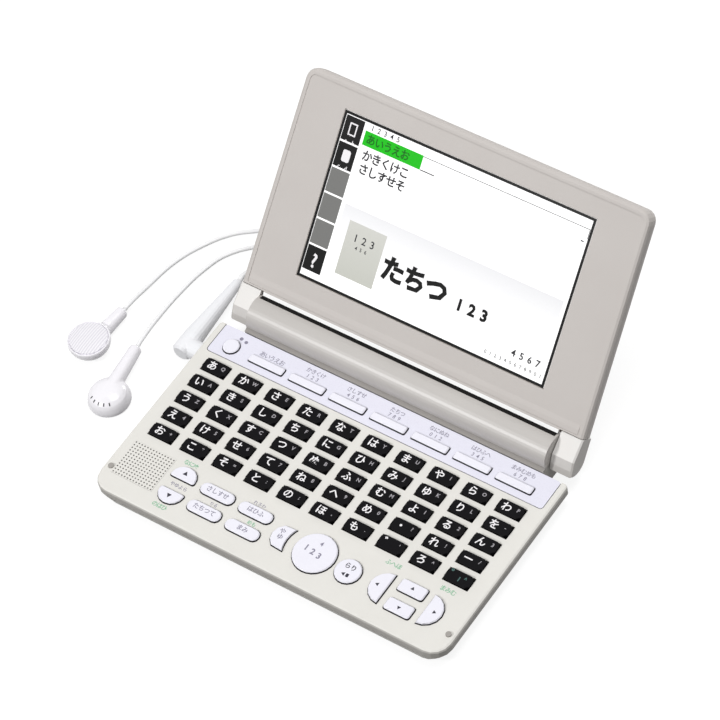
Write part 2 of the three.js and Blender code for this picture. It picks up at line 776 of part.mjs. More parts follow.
add('lid_bezel', cut(solid(bezelOuter), [panelSink, windowBed, viewHole, ...knuckleRoom]), lidPlastic, lid);
add('display_window', box(
  -halfWindow, halfWindow, windowBottom, windowTop, lidFront - windowThickness, lidFront - gap / 3,
), clearCover, lid);
const backTop = bezelBack - gap;
const shellBack = -lidBack;
const backOuter = loft([
  { z: shellBack, points: lidOutline(lidEdgeRound * 3, lidEdgeRound * 3) },
  { z: shellBack + lidEdgeRound / 2, points: lidOutline(lidEdgeRound * 1.6, lidEdgeRound * 1.6) },
  { z: shellBack + lidEdgeRound * 1.6, points: lidOutline(lidEdgeRound / 2, lidEdgeRound / 2) },
  { z: backTop - gap, points: lidOutline(gap / 3, gap / 3) },
  { z: backTop, points: lidOutline(gap, gap) },
]);
const backHollow = prism(lidOutline(lidEdgeRound * 3 + lidWall, lidEdgeRound * 3 + lidWall),
  shellBack + lidWall, backTop + overrun);
add('lid_back_shell', cut(solid(backOuter), [backHollow, ...knuckleRoom]), lidPlastic, lid);
const panelTop = bezelBack - gap;
add('display_panel', box(
  -halfWindow + gap, halfWindow - gap, windowBottom + gap, windowTop - gap,
  panelTop - panelThickness, panelTop,
), screen, lid);

// Lid knuckles either side of the barrel: a front that carries on from the lid's face, a crease level with
// the axis, a round end about the axis, and an outer side rounded as the lid's back is
const capInner = halfBarrel + gap;
const capOuter = halfLid;
function knuckleOutline(back, soft) {
  const points = [
    new THREE.Vector2(knuckleReach, -back),
    new THREE.Vector2(knuckleReach, lidFront - soft),
    new THREE.Vector2(knuckleReach - gap, lidFront + rimHeight - soft),
    new THREE.Vector2(0, knuckleFront - soft),
    new THREE.Vector2(-capRadius * 0.58, knuckleFront * 0.67 - soft),
  ];
  for (let i = 0; i <= knuckleSteps; i++) {
    const angle = knuckleTurn + ((quarter * 3 - knuckleTurn) * i) / knuckleSteps;
    const radius = capRadius - soft;
    points.push(new THREE.Vector2(radius * Math.cos(angle), radius * Math.sin(angle)));
  }
  return points;
}
function knuckle(side) {
  const levels = [
    [0, lidBack - lidEdgeRound * 1.6, gap * 1.5],
    [lidEdgeRound / 2, lidBack - lidEdgeRound, 0],
    [lidEdgeRound * 1.6, lidBack - lidEdgeRound / 2, 0],
    [lidEdgeRound * 3, lidBack, 0],
    [capWidth, lidBack, 0],
  ].map(([depth, back, soft]) => ({ z: side * (capOuter - depth), points: knuckleOutline(back, soft) }));
  return loft(side < 0 ? levels : levels.reverse()).rotateX(quarter).rotateZ(quarter);
}
for (const [name, side] of [['hinge_cap_left', -1], ['hinge_cap_right', 1]]) {
  const [x0, x1] = side < 0 ? [-capOuter, -capInner] : [capInner, capOuter];
  const bore = barX(x0 - overrun, x1 + overrun, 0, 0, pinRadius + gap, 24);
  const endCap = barX(
    side < 0 ? x0 : x1 - capEnd(), side < 0 ? x0 + capEnd() : x1, 0, 0, pinRadius + 2 * gap, 24,
  );
  const body = cut(solid(knuckle(side)), [bore]).add(solid(endCap));
  add(name, body, capPlastic, lid);
}

// Thickness of the closed outer end of a knuckle
function capEnd() {
  return capOuter - (halfBarrel - barrelWall + pinLength - 2 * barrelWall) - gap;
}

// Earphone plug: an L, its body lying along the left side of the case
const plugStart = -jackY - plugFrontOverhang;
const plugEnd = plugStart + plugBodyLength;
const plugProfile = [
  new THREE.Vector2(0, 0),
  new THREE.Vector2(plugBodyRadius - edgeRound, 0),
  new THREE.Vector2(plugBodyRadius, edgeRound),
  new THREE.Vector2(plugBodyRadius, plugBodyLength * 0.45),
  new THREE.Vector2((plugBodyRadius + reliefTip) * 0.55, plugBodyLength),
  new THREE.Vector2(reliefTip, plugBodyLength + reliefLength),
  new THREE.Vector2(0, plugBodyLength + reliefLength),
];
const plugShaft = new THREE.LatheGeometry(plugProfile, 20).translate(-plugX, plugStart, jackZ);
const plugFace = -halfCase - gap;
const plugNeck = barX(-plugX, plugFace, -jackY, jackZ, plugCollarRadius, 20);
const plugBody = add('earphone_plug', join(plugShaft, plugNeck), whitePlastic);
const pinTipX = plugFace + plugPinLength;
const plugPin = add('earphone_plug_pin', join(
  barX(plugFace + gap, pinTipX - plugPinRadius, -jackY, jackZ, plugPinRadius, 20),
  new THREE.ConeGeometry(plugPinRadius, plugPinRadius, 20).rotateZ(-quarter)
    .translate(pinTipX - plugPinRadius / 2, -jackY, jackZ),
), brass);
cordPieces.add(plugBody).add(plugPin);

// A tube through points, its end faces square to the path
function tube(curve, diameter, steps, sides) {
  const section = new THREE.Shape(circlePoints(0, 0, diameter / 2, sides));
  return new THREE.ExtrudeGeometry(section, { steps, extrudePath: curve, bevelEnabled: false });
}

// Rings set square to the path by a steady frame, for the coil
function windTube(points, diameter, sides) {
  const positions = [];
  const up = new THREE.Vector3(0, 0, 1);
  for (let i = 0; i < points.length; i++) {
    const ahead = points[Math.min(i + 1, points.length - 1)];
    const behind = points[Math.max(i - 1, 0)];
    const along = new THREE.Vector3().subVectors(ahead, behind).normalize();
    const across = new THREE.Vector3().crossVectors(along, up).normalize();
    const over = new THREE.Vector3().crossVectors(across, along);
    for (let j = 0; j < sides; j++) {
      const angle = (turn * (j + 0.5)) / sides;
      const point = points[i].clone()
        .addScaledVector(across, (diameter / 2) * Math.cos(angle))
        .addScaledVector(over, (diameter / 2) * Math.sin(angle));
      positions.push(point.x, point.y, point.z);
    }
  }
  const index = [];
  const last = (points.length - 1) * sides;
  for (let i = 0; i < points.length - 1; i++) {
    for (let j = 0; j < sides; j++) {
      const a = i * sides + j;
      const b = i * sides + ((j + 1) % sides);
      index.push(a, b + sides, b, a, a + sides, b + sides);
    }
  }
  for (let j = 1; j < sides - 1; j++) {
    index.push(0, j, j + 1);
    index.push(last, last + j + 1, last + j);
  }
  const geometry = new THREE.BufferGeometry();
  geometry.setAttribute('position', new THREE.Float32BufferAttribute(positions, 3));
  geometry.setIndex(index);
  return geometry;
}

const leadRadius = leadDiameter / 2;
const branchRadius = branchDiameter / 2;
const vectors = (rows) => rows.map(([x, y, z]) => new THREE.Vector3(x, y, z));

// Coil: bottom layer inwards, next layer outwards, and so on up
const coilTurns = coilLayers * turnsPerLayer;
const climbShare = 0.25 / turnsPerLayer;
const coilPoints = [new THREE.Vector3(coilX - leadDiameter * 2, coilY - coilRadius, leadRadius)];
for (let i = 0; i <= coilTurns * stepsPerTurn; i++) {
  const turns = i / stepsPerTurn;
  const layer = Math.min(Math.floor(turns / turnsPerLayer), coilLayers - 1);
  const within = turns / turnsPerLayer - layer;
  const inward = layer % 2 === 0 ? within : 1 - within;
  const radius = coilRadius - inward * turnsPerLayer * coilPitch;
  const rising = layer === coilLayers - 1 ? 0 : THREE.MathUtils.smoothstep(within, 1 - climbShare, 1) / 2;
  const risen = layer === 0 ? 0 : (1 - THREE.MathUtils.smoothstep(within, 0, climbShare)) / 2;
  const angle = -quarter + turn * turns;
  coilPoints.push(new THREE.Vector3(
    coilX + radius * Math.cos(angle), coilY + radius * Math.sin(angle),
    leadRadius + coilPitch * (layer + rising - risen),
  ));
}
const coilTopZ = leadRadius + coilPitch * (coilLayers - 1);
const tailSteps = 8;
for (let i = 1; i <= 3; i++) {
  coilPoints.push(new THREE.Vector3(coilX + (coilTailFlat * i) / 3, coilY - coilRadius, coilTopZ));
}
for (let i = 1; i <= tailSteps; i++) {
  const share = i / tailSteps;
  const drop = THREE.MathUtils.smoothstep(share, 0, 1);
  coilPoints.push(new THREE.Vector3(
    coilX + coilTailFlat + coilTailDrop * share, coilY - coilRadius,
    THREE.MathUtils.lerp(coilTopZ, splitterHeight / 2, drop),
  ));
}
const coilEndX = coilX + coilTailFlat + coilTailDrop + leadDiameter;
coilPoints.push(new THREE.Vector3(coilEndX, coilY - coilRadius, splitterHeight / 2));
const coil = add('earphone_cord_coil', windTube(coilPoints, leadDiameter, coilSides), whiteCord);

// Lead from the plug to the coil
const reliefEnd = plugEnd + reliefLength;
const leadStartZ = jackZ;
const leadPoints = vectors([
  [-plugX, reliefEnd + gap, leadStartZ],
  [-plugX, reliefEnd + gap + leadDiameter * 2, leadStartZ],
  [-76, 23.9, 2.2],
  [-64, 27.9, leadRadius],
  [-46, 23.9, leadRadius],
  [-26, 21.4, leadRadius],
  [-10, coilY - coilRadius, leadRadius],
  [coilX - leadDiameter * 2 - gap - leadDiameter, coilY - coilRadius, leadRadius],
  [coilX - leadDiameter * 2 - gap, coilY - coilRadius, leadRadius],
]);
const leadCurve = new THREE.CatmullRomCurve3(leadPoints, false, 'centripetal');
const lead = add('earphone_cord_lead', tube(leadCurve, leadDiameter, leadSteps, tubeSides), whiteCord);

// Splitter where the cord forks
const splitterX0 = coilEndX + gap;
const splitterX1 = splitterX0 + splitterLength;
const splitterY = coilY - coilRadius;
const splitter = add('earphone_splitter', prism(roundedRect(
  splitterX0, splitterX1, splitterY - splitterWidth / 2, splitterY + splitterWidth / 2, splitterCorner, 3,
), 0, splitterHeight), whitePlastic);

// Earbuds: middle of the disc, stem heading and length, and whether the grille is up
const forkOffset = splitterWidth / 4;
const rearBud = {
  x: -113.5, y: -36, heading: THREE.MathUtils.degToRad(85), reach: rearStemReach, grilleUp: true,
};
const frontBud = {
  x: -94.1, y: -51, heading: THREE.MathUtils.degToRad(98), reach: frontStemReach, grilleUp: false,
};
const stemHeight = budStemRadius;
function budEnd(bud) {
  return new THREE.Vector3(
    bud.x + (bud.reach + gap) * Math.cos(bud.heading),
    bud.y + (bud.reach + gap) * Math.sin(bud.heading),
    bud.grilleUp ? stemHeight : budDepth - stemHeight,
  );
}
function earbud(side, bud) {
  const profile = [
    new THREE.Vector2(0, 0),
    new THREE.Vector2(budRadius * 0.45, budRim / 2),
    new THREE.Vector2(budRadius * 0.8, budDepth * 0.28),
    new THREE.Vector2(budRadius * 0.95, budDepth * 0.52),
    new THREE.Vector2(budRadius, budDepth * 0.68),
    new THREE.Vector2(budRadius, budDepth - budRim),
    new THREE.Vector2(budRadius - budRim / 2, budDepth),
    new THREE.Vector2(budRadius - budRim, budDepth),
    new THREE.Vector2(budRadius - budRim, budDepth - budRecess),
    new THREE.Vector2(0, budDepth - budRecess),
  ];
  const shell = new THREE.LatheGeometry(profile, budSides).rotateX(quarter);
  const stem = new THREE.CylinderGeometry(budStemTip, budStemRadius, bud.reach, budStemSides)
    .rotateZ(-quarter).translate(bud.reach / 2, 0, stemHeight);
  const grilleBottom = budDepth - budRecess + gap / 3;
  const grilleRadius = budRadius - budRim - gap;
  const grilleProfile = [
    new THREE.Vector2(0, 0),
    new THREE.Vector2(grilleRadius, 0),
    new THREE.Vector2(grilleRadius, budRecess - gap),
    new THREE.Vector2(grilleRadius * 0.6, budRecess - gap + (bud.grilleUp ? grilleDome : 0) * 0.8),
    new THREE.Vector2(0, budRecess - gap + (bud.grilleUp ? grilleDome : 0)),
  ];
  const grille = new THREE.LatheGeometry(grilleProfile, budSides).rotateX(quarter)
    .translate(0, 0, grilleBottom);
  const place = new THREE.Group();
  place.position.set(bud.x, bud.y, bud.grilleUp ? 0 : budDepth);
  place.rotation.set(bud.grilleUp ? 0 : Math.PI, 0, bud.heading, 'ZYX');
  dictionary.add(place);
  cordPieces.add(add(`earbud_${side}`, join(shell, stem), whitePlastic, place));
  cordPieces.add(add(`earbud_${side}_grille`, grille, meshMetal, place));
}
earbud('left', rearBud);
earbud('right', frontBud);

// Branches from the splitter to the earbuds, points chosen by hand
const forkX = splitterX1 + gap;
const forkZ = splitterHeight / 2;
const rearEnd = budEnd(rearBud);
const frontEnd = budEnd(frontBud);
const leftPoints = vectors([
  [rearEnd.x, rearEnd.y, rearEnd.z],
  [rearEnd.x + 0.1, rearEnd.y + 3, rearEnd.z],
  [-111.8, -4, 1.1],
  [-109.6, 10, branchRadius],
  [-104.8, 21.2, branchRadius],
  [-98.3, 30.4, branchRadius],
  [-88.5, 38.2, branchRadius],
  [-78, 51.9, branchRadius],
  [-72, 69.9, branchRadius],
  [-58, 85.9, branchRadius],
  [-36, 87.9, branchRadius],
  [-22, 73.9, branchRadius],
  [-4, 65.9, branchRadius],
  [18, 71.9, branchRadius],
  [38, 65.9, branchRadius],
  [53, 47.9, branchRadius],
  [54, 33.9, branchRadius],
  [49, 24.9, 1.1],
  [forkX + 3, splitterY - forkOffset, forkZ],
  [forkX, splitterY - forkOffset, forkZ],
]);
const rightPoints = vectors([
  [frontEnd.x, frontEnd.y, frontEnd.z],
  [frontEnd.x - 0.6, frontEnd.y + 3, frontEnd.z - 0.3],
  [-99.9, -13, 1.2],
  [-99.7, 0, branchRadius],
  [-98, 12, branchRadius],
  [-94.6, 21.6, branchRadius],
  [-85, 31.6, branchRadius],
  [-71, 41, branchRadius],
  [-62, 56, branchRadius],
  [-48, 69, branchRadius],
  [-33, 71, branchRadius],
  [-19, 63, branchRadius],
  [-4, 56.5, branchRadius],
  [12, 58, branchRadius],
  [28, 60, branchRadius],
  [40, 52, branchRadius],
  [46, 41.5, branchRadius],
  [48, 32.9, branchRadius],
  [forkX + 2.5, splitterY + forkOffset + 0.2, 1.5],
  [forkX, splitterY + forkOffset, forkZ],
]);

const leftCurve = new THREE.CatmullRomCurve3(leftPoints, false, 'centripetal');
const rightCurve = new THREE.CatmullRomCurve3(rightPoints, false, 'centripetal');
const leftBranch = add(
  'earphone_cord_left', tube(leftCurve, branchDiameter, branchSteps, tubeSides), whiteCord,
);
const rightBranch = add(
  'earphone_cord_right', tube(rightCurve, branchDiameter, branchSteps, tubeSides), whiteCord,
);
for (const piece of [coil, lead, splitter, leftBranch, rightBranch]) cordPieces.add(piece);

// Least gap of the coil to itself, measured between points over a diameter apart along the cord
function leastSelfGap(points, diameter) {
  const along = [0];
  for (let i = 1; i < points.length; i++) along.push(along[i - 1] + points[i].distanceTo(points[i - 1]));
  let least = Infinity;
  for (let i = 0; i < points.length; i++) {
    for (let j = i + 1; j < points.length; j++) {
      if (along[j] - along[i] > diameter * Math.PI) least = Math.min(least, points[i].distanceTo(points[j]));
    }
  }
  return least - diameter;
}
const coilLength = coilPoints.slice(1).reduce((sum, point, i) => sum + point.distanceTo(coilPoints[i]), 0);
const coilGap = leastSelfGap(coilPoints, leadDiameter);
console.log(`coil ${coilLength.toFixed(0)} mm, least gap ${coilGap.toFixed(2)} mm`);
console.log(`lead ${leadCurve.getLength().toFixed(0)}, left branch ${leftCurve.getLength().toFixed(0)}, `
  + `right branch ${rightCurve.getLength().toFixed(0)} mm`);

// Stand the dictionary itself on the origin, its box centred there without the earphones
dictionary.updateMatrixWorld(true);
const bounds = new THREE.Box3();
dictionary.traverse((piece) => {
  if (piece.isMesh && !cordPieces.has(piece)) bounds.expandByObject(piece, true);
});
const middle = bounds.getCenter(new THREE.Vector3());
dictionary.position.set(-middle.x, -middle.y, -bounds.min.z);
dictionary.updateMatrixWorld(true);
const hinge = new THREE.Vector3(0, 0, axisHeight).add(dictionary.position);
console.log(`hinge axis at y ${hinge.y.toFixed(3)}, z ${hinge.z.toFixed(3)} mm`);
export default dictionary;
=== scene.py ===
import math

import bmesh
import bpy
from mathutils import Matrix, Vector


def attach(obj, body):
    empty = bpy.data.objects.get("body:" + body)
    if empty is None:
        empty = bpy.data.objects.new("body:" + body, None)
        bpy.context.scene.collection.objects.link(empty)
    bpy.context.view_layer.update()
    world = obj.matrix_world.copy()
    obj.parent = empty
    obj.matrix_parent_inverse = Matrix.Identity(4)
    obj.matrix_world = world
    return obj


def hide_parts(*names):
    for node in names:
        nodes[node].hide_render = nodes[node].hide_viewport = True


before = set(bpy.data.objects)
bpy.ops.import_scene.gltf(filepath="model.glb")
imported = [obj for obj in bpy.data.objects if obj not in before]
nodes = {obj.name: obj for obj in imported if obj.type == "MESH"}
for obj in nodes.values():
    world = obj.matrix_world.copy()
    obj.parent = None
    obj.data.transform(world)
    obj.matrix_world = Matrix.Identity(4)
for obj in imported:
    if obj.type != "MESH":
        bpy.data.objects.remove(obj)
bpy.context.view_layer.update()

# Sizes are in millimetres, as in the part's source, and become metres when a mesh is made.
MM = 0.001

# The hinge axis runs along X here, and the lid leans back from it at this angle to the table.
HINGE_BACK = 10.767
HINGE_HEIGHT = 11.4
LID_LEAN = math.radians(46.4)

# A deck point is (right, back from the hinge axis, height above the table).
DECK = Matrix.Translation((0, HINGE_BACK, 0))
# A hinge point is the same with its height counted from the hinge axis.
HINGE = Matrix.Translation((0, HINGE_BACK, HINGE_HEIGHT))
# A lid point is (right, up the lid from the hinge axis, out of the screen side).
LID = HINGE @ Matrix.Rotation(LID_LEAN, 4, "X")

# Heights above the table of the deck and of the kana keys' tops.
DECK_FACE = 9.4
KEY_FACE = 10.3

# Printed marks start this far under a face, so that no gap shows, and stand this far out of it.
INK_SUNK = 0.03
INK_PROUD = 0.02
KANA_PROUD = 0.03


# Camera

# The view was solved from the key centres and the window's corners in the photograph.
EYE = (599.21, -589.80, 1140.21)
VIEW_AXIS = (-0.43499, 0.42310, -0.79484)
IMAGE_RIGHT = (0.81492, 0.56045, -0.14764)
SENSOR = 36
LENS = 202.85

camera_data = bpy.data.cameras.new("camera")
camera_data.sensor_width = SENSOR
camera_data.lens = LENS
camera_data.clip_start = 0.05
camera_data.clip_end = 20
camera = bpy.data.objects.new("camera", camera_data)
bpy.context.scene.collection.objects.link(camera)
ahead = Vector(VIEW_AXIS).normalized()
right = Vector(IMAGE_RIGHT)
right = (right - ahead * right.dot(ahead)).normalized()
up = right.cross(ahead)
looking = Matrix((right, up, -ahead)).transposed().to_4x4()
camera.matrix_world = Matrix.Translation(Vector(EYE) * MM) @ looking
bpy.context.scene.camera = camera


# Materials

def linear(colour):
    """Turns an sRGB hex colour into the linear RGBA that a shader socket takes."""
    parts = [int(colour[i:i + 2], 16) / 255 for i in (1, 3, 5)]
    return tuple(c / 12.92 if c <= 0.04045 else ((c + 0.055) / 1.055) ** 2.4 for c in parts) + (1,)


def add(tree, kind, settings=None, links=None):
    """Adds one node. Settings name its attributes or sockets, and links join a socket to an output."""
    new = tree.nodes.new(kind)
    for key, value in (settings or {}).items():
        if isinstance(key, int) or key in new.inputs:
            new.inputs[key].default_value = value
        else:
            setattr(new, key, value)
    for key, source in (links or {}).items():
        tree.links.new(source, new.inputs[key])
    return new


def material(name, **sockets):
    """A new material and its main shader, with these values on the shader's own sockets."""
    made = bpy.data.materials.new(name)
    made.use_nodes = True
    shader = made.node_tree.nodes["Principled BSDF"]
    for key, value in sockets.items():
        shader.inputs[key.replace("_", " ")].default_value = value
    return made, made.node_tree, shader


def place(tree, size):
    """Object coordinates counted in patterns of this size in millimetres."""
    spot = add(tree, "ShaderNodeTexCoord")
    return add(tree, "ShaderNodeVectorMath", {"operation": "SCALE", "Scale": 1 / (size * MM)},
               {0: spot.outputs["Object"]}).outputs[0]


def drift(tree, base, shade, patch):
    """A colour that wanders slowly between base and shade, over patches of this size."""
    slow = add(tree, "ShaderNodeTexNoise", {"Scale": 1, "Detail": 3, "Roughness": 0.5},
               {"Vector": place(tree, patch)})
    colour = add(tree, "ShaderNodeMix", {"data_type": "RGBA", 6: linear(base), 7: linear(shade)},
                 {0: slow.outputs["Fac"]})
    return colour.outputs[2]


# How far up a face looks, from 0 to 1, where the painted shade of the side colour begins to fade into the top
# colour and where it is gone.
SHADE_FADES_FROM = 0.3
SHADE_GONE_AT = 0.7


def moulded(name, base, shade, grain, depth, roughness, gloss_spread=0.06, patch=9, side=None, **sockets):
    """A moulded or sprayed finish: colour drifting slowly, with a fine grain in relief.

    Grain, relief depth and colour patch are in millimetres. Where side is given, walls and undersides take that
    colour as painted shade, and only the faces that look up have the base colour."""
    made, tree, shader = material(name, Roughness=roughness, **sockets)
    colour = drift(tree, base, shade, patch)
    # Painted shade: faces that look sideways or down take the darker side colour.
    if side:
        spot = add(tree, "ShaderNodeTexCoord")
        facing = add(tree, "ShaderNodeSeparateXYZ", links={"Vector": spot.outputs["Normal"]})
        shade_mask = add(tree, "ShaderNodeMapRange", {"From Min": SHADE_FADES_FROM, "From Max": SHADE_GONE_AT},
                      {"Value": facing.outputs["Z"]})
        colour = add(tree, "ShaderNodeMix", {"data_type": "RGBA", 6: linear(side)},
                     {0: shade_mask.outputs["Result"], 7: colour}).outputs[2]
    tree.links.new(colour, shader.inputs["Base Color"])
    fine = add(tree, "ShaderNodeTexNoise", {"Scale": 1, "Detail": 2, "Roughness": 0.6},
               {"Vector": place(tree, grain)})
    rough = add(tree, "ShaderNodeMapRange",
                {"To Min": roughness - gloss_spread, "To Max": roughness + gloss_spread},
                {"Value": fine.outputs["Fac"]})
    tree.links.new(rough.outputs["Result"], shader.inputs["Roughness"])
    relief = add(tree, "ShaderNodeBump", {"Strength": 1, "Distance": depth * MM},
                 {"Height": fine.outputs["Fac"]})
    tree.links.new(relief.outputs["Normal"], shader.inputs["Normal"])
    return made


# ABS, moulded with a fine spark texture: a warm off white face, soft and matt, over walls coloured darker grey
# as painted shade.
deck_plastic = moulded("abs_deck_light_grey", "#E6E4DF", "#E0DED8", 0.35, 0.012, 0.5, side="#A9A6A1",
                       Specular_IOR_Level=0.3)
# The same ABS in a darker silver grey for the lower case: matt, and a little duller.
case_plastic = moulded("abs_lower_case_grey", "#B4B1AC", "#ACA9A4", 0.35, 0.02, 0.55, Specular_IOR_Level=0.3)
# ABS sprayed with warm silver grey paint: a soft satin with little glint, even in tone over the whole lid.
lid_paint = moulded("silver_paint_on_abs", "#CBC6C2", "#C5BFBB", 0.2, 0.006, 0.5, 0.06, 20,
                    Specular_IOR_Level=0.15)
# The hinge cover's paint is a shade darker under a glossier coat, which draws one bright band along the round.
hinge_paint = moulded("silver_paint_on_hinge", "#BEBAB6", "#B8B4B0", 0.2, 0.004, 0.42, 0.03, 20,
                      Specular_IOR_Level=0.9)
# The end caps of the hinge, sprayed the palest of the three: almost white on top, with sides coloured greyer as
# painted shade.
cap_paint = moulded("silver_paint_on_caps", "#E7E5E2", "#E2DFDC", 0.2, 0.005, 0.42, 0.06, 20, side="#C6C2BE",
                    Specular_IOR_Level=0.3)
# Smooth pure white strip along the lid's lower edge, the brightest line on the lid: partly the edge's pale
# colour, partly a painted highlight.
lip_white_highlight = moulded("white_edge_painted_highlight", "#FFFFFF", "#FCFCFB", 0.8, 0.001, 0.2, 0.03, 20)
# A black strip along the barrel just under the lid's edge: painted shadow of the gap between lid and barrel,
# dull and lightless.
gap_shadow_black = moulded("painted_gap_shadow_black", "#161515", "#1D1C1B", 0.15, 0.02, 0.95, 0.03, 2,
                    Specular_IOR_Level=0.1)
# A grey strip over the barrel's foot, dull: painted shade that carries on the shade under the round.
foot_painted_shade = moulded("painted_foot_shade_grey", "#9C9894", "#94908C", 0.2, 0.01, 0.7, 0.04, 6,
                    Specular_IOR_Level=0.2)
# Polycarbonate film printed pale lilac white on its back: smooth, clear gloss over an even colour.
strip_film = moulded("polycarbonate_label_film", "#E9E8F4", "#E5E4F1", 0.6, 0.002, 0.28, 0.04, 14,
                     Specular_IOR_Level=0.3)
# ABS keys, cool white on top, with walls coloured dark grey as painted shade, which shows as a thin dark line
# round the key.
white_key = moulded("abs_key_cool_white", "#F1F0F8", "#ECEBF5", 0.5, 0.003, 0.34, 0.04, 6, side="#3C3A40",
                    Specular_IOR_Level=0.3)
# The lettered keys in black ABS, with a satin face worn slightly smoother than it was moulded.
black_key = moulded("abs_key_black", "#070609", "#0B0A0D", 0.4, 0.006, 0.45, 0.05, 4, Specular_IOR_Level=0.08)
# Thermoplastic rubber feet: dark, dull and faintly rough.
foot_rubber = moulded("rubber_foot_grey", "#4A4947", "#3F3E3C", 0.3, 0.03, 0.8)
# Silicone rubber key mat, coloured near black as painted shade so that the gaps round the keys look dark, with
# a soft low sheen.
mat_rubber_shade_dark = moulded("silicone_key_mat", "#1C1B1D", "#232224", 0.5, 0.01, 0.6)
# Black polyamide of the socket and the speaker frame: plain and semi matt.
dark_plastic = moulded("polyamide_black", "#222224", "#1B1B1D", 0.4, 0.01, 0.5)
# Glossy white ABS of the earphones: bright, smooth, with a hard highlight.
white_gloss = moulded("abs_gloss_white", "#F5F3F7", "#F1EFF4", 0.8, 0.002, 0.24, 0.03, 10)
# The plug in translucent white PVC: a cooler, greyer white with a waxy gloss.
plug_plastic = moulded("pvc_plug_white", "#F1F1F4", "#EBECEF", 0.8, 0.004, 0.36, 0.04, 8)
# Thermoplastic elastomer of the cord: white, dull and slightly waxy.
cord_rubber = moulded("elastomer_cord_white", "#FAFAFB", "#F4F4F5", 0.4, 0.01, 0.5, 0.06, 5)
# Rubber dots at the deck's front corners that keep the closed halves apart: mid grey, dull.
bumper_rubber = moulded("rubber_bumper_grey", "#A8A49F", "#98948F", 0.3, 0.01, 0.7)
# The dark felt behind the speaker's holes.
speaker_felt = moulded("speaker_felt_grey", "#6E6B68", "#5E5B58", 0.2, 0.02, 0.95, 0.03, 2,
                       Specular_IOR_Level=0.1)


def turned_metal(name, tint, roughness, groove, gloss_spread=0.08):
    """Bare turned metal: the gloss varies finely, as the tool left it."""
    made, tree, shader = material(name, Metallic=1, Roughness=roughness)
    shader.inputs["Base Color"].default_value = linear(tint)
    marks = add(tree, "ShaderNodeTexNoise", {"Scale": 1, "Detail": 1}, {"Vector": place(tree, groove)})
    gloss = add(tree, "ShaderNodeMapRange",
                {"To Min": roughness - gloss_spread, "To Max": roughness + gloss_spread},
                {"Value": marks.outputs["Fac"]})
    tree.links.new(gloss.outputs["Result"], shader.inputs["Roughness"])
    return made


# Hinge pins in plain steel: a cool grey with a soft shine.
hinge_steel = turned_metal("turned_steel_pin", "#B9BABB", 0.3, 0.15)
# The plug's contact in plated brass: warm, pale and bright.
plug_metal = turned_metal("nickel_plated_brass", "#D9D2BF", 0.2, 0.2)

TRACK_PITCH = 3
BATTERY_LENGTH = 44.5
BAND_EDGE = 0.7  # share of a cell's length where the second colour begins


def green_board():
    """Glass epoxy board under green solder mask: glossy, with copper tracks showing paler through it."""
    made, tree, shader = material("glass_epoxy_board", Roughness=0.3)
    tracks = add(tree, "ShaderNodeTexBrick", {"Scale": 1, "Mortar Size": 0.12, "Color1": linear("#1E5B36"),
                                              "Color2": linear("#235F3B"), "Mortar": linear("#4E9360")},
                 {"Vector": place(tree, TRACK_PITCH)})
    tree.links.new(tracks.outputs["Color"], shader.inputs["Base Color"])
    return made


def cell_wrap():
    """Printed film wrap of a dry cell: two plain colour bands along it, under a clear gloss."""
    made, tree, shader = material("printed_cell_wrap", Roughness=0.25)
    band = add(tree, "ShaderNodeTexWave", {"Scale": 0.3, "Distortion": 0},
               {"Vector": place(tree, BATTERY_LENGTH)})
    ramp = add(tree, "ShaderNodeValToRGB", links={"Fac": band.outputs["Fac"]})
    ramp.color_ramp.interpolation = "CONSTANT"
    ramp.color_ramp.elements[0].color = linear("#2F3237")
    ramp.color_ramp.elements[1].color = linear("#B08A3C")
    ramp.color_ramp.elements[1].position = BAND_EDGE
    tree.links.new(ramp.outputs["Color"], shader.inputs["Base Color"])
    return made


def slotted_grille():
    """White lacquered mesh over an earphone's driver: rows of fine slots, drawn coarse enough to show."""
    made, tree, shader = material("lacquered_mesh_white", Roughness=0.4)
    rows = add(tree, "ShaderNodeTexWave", {"Scale": 0.32, "Distortion": 0}, {"Vector": place(tree, 1)})
    rows.bands_direction = "X"
    colour = add(tree, "ShaderNodeMix", {"data_type": "RGBA", 6: linear("#DDDBE2"), 7: linear("#F4F2F6")},
                 {0: rows.outputs["Fac"]})
    tree.links.new(colour.outputs[2], shader.inputs["Base Color"])
    relief = add(tree, "ShaderNodeBump", {"Strength": 0.5, "Distance": 0.06 * MM},
                 {"Height": rows.outputs["Fac"]})
    tree.links.new(relief.outputs["Normal"], shader.inputs["Normal"])
    return made


def ink(name, colour, roughness=0.5):
    """Screen printed ink: a thin even layer, slightly uneven in its cover."""
    return moulded(name, colour, colour, 0.3, 0.002, roughness, 0.05, 3, Specular_IOR_Level=0.2)


SCREEN_DOT = 0.2
SCREEN_GLOSS = 0.15  # roughness of the screen's clear front, and of all that lies under it


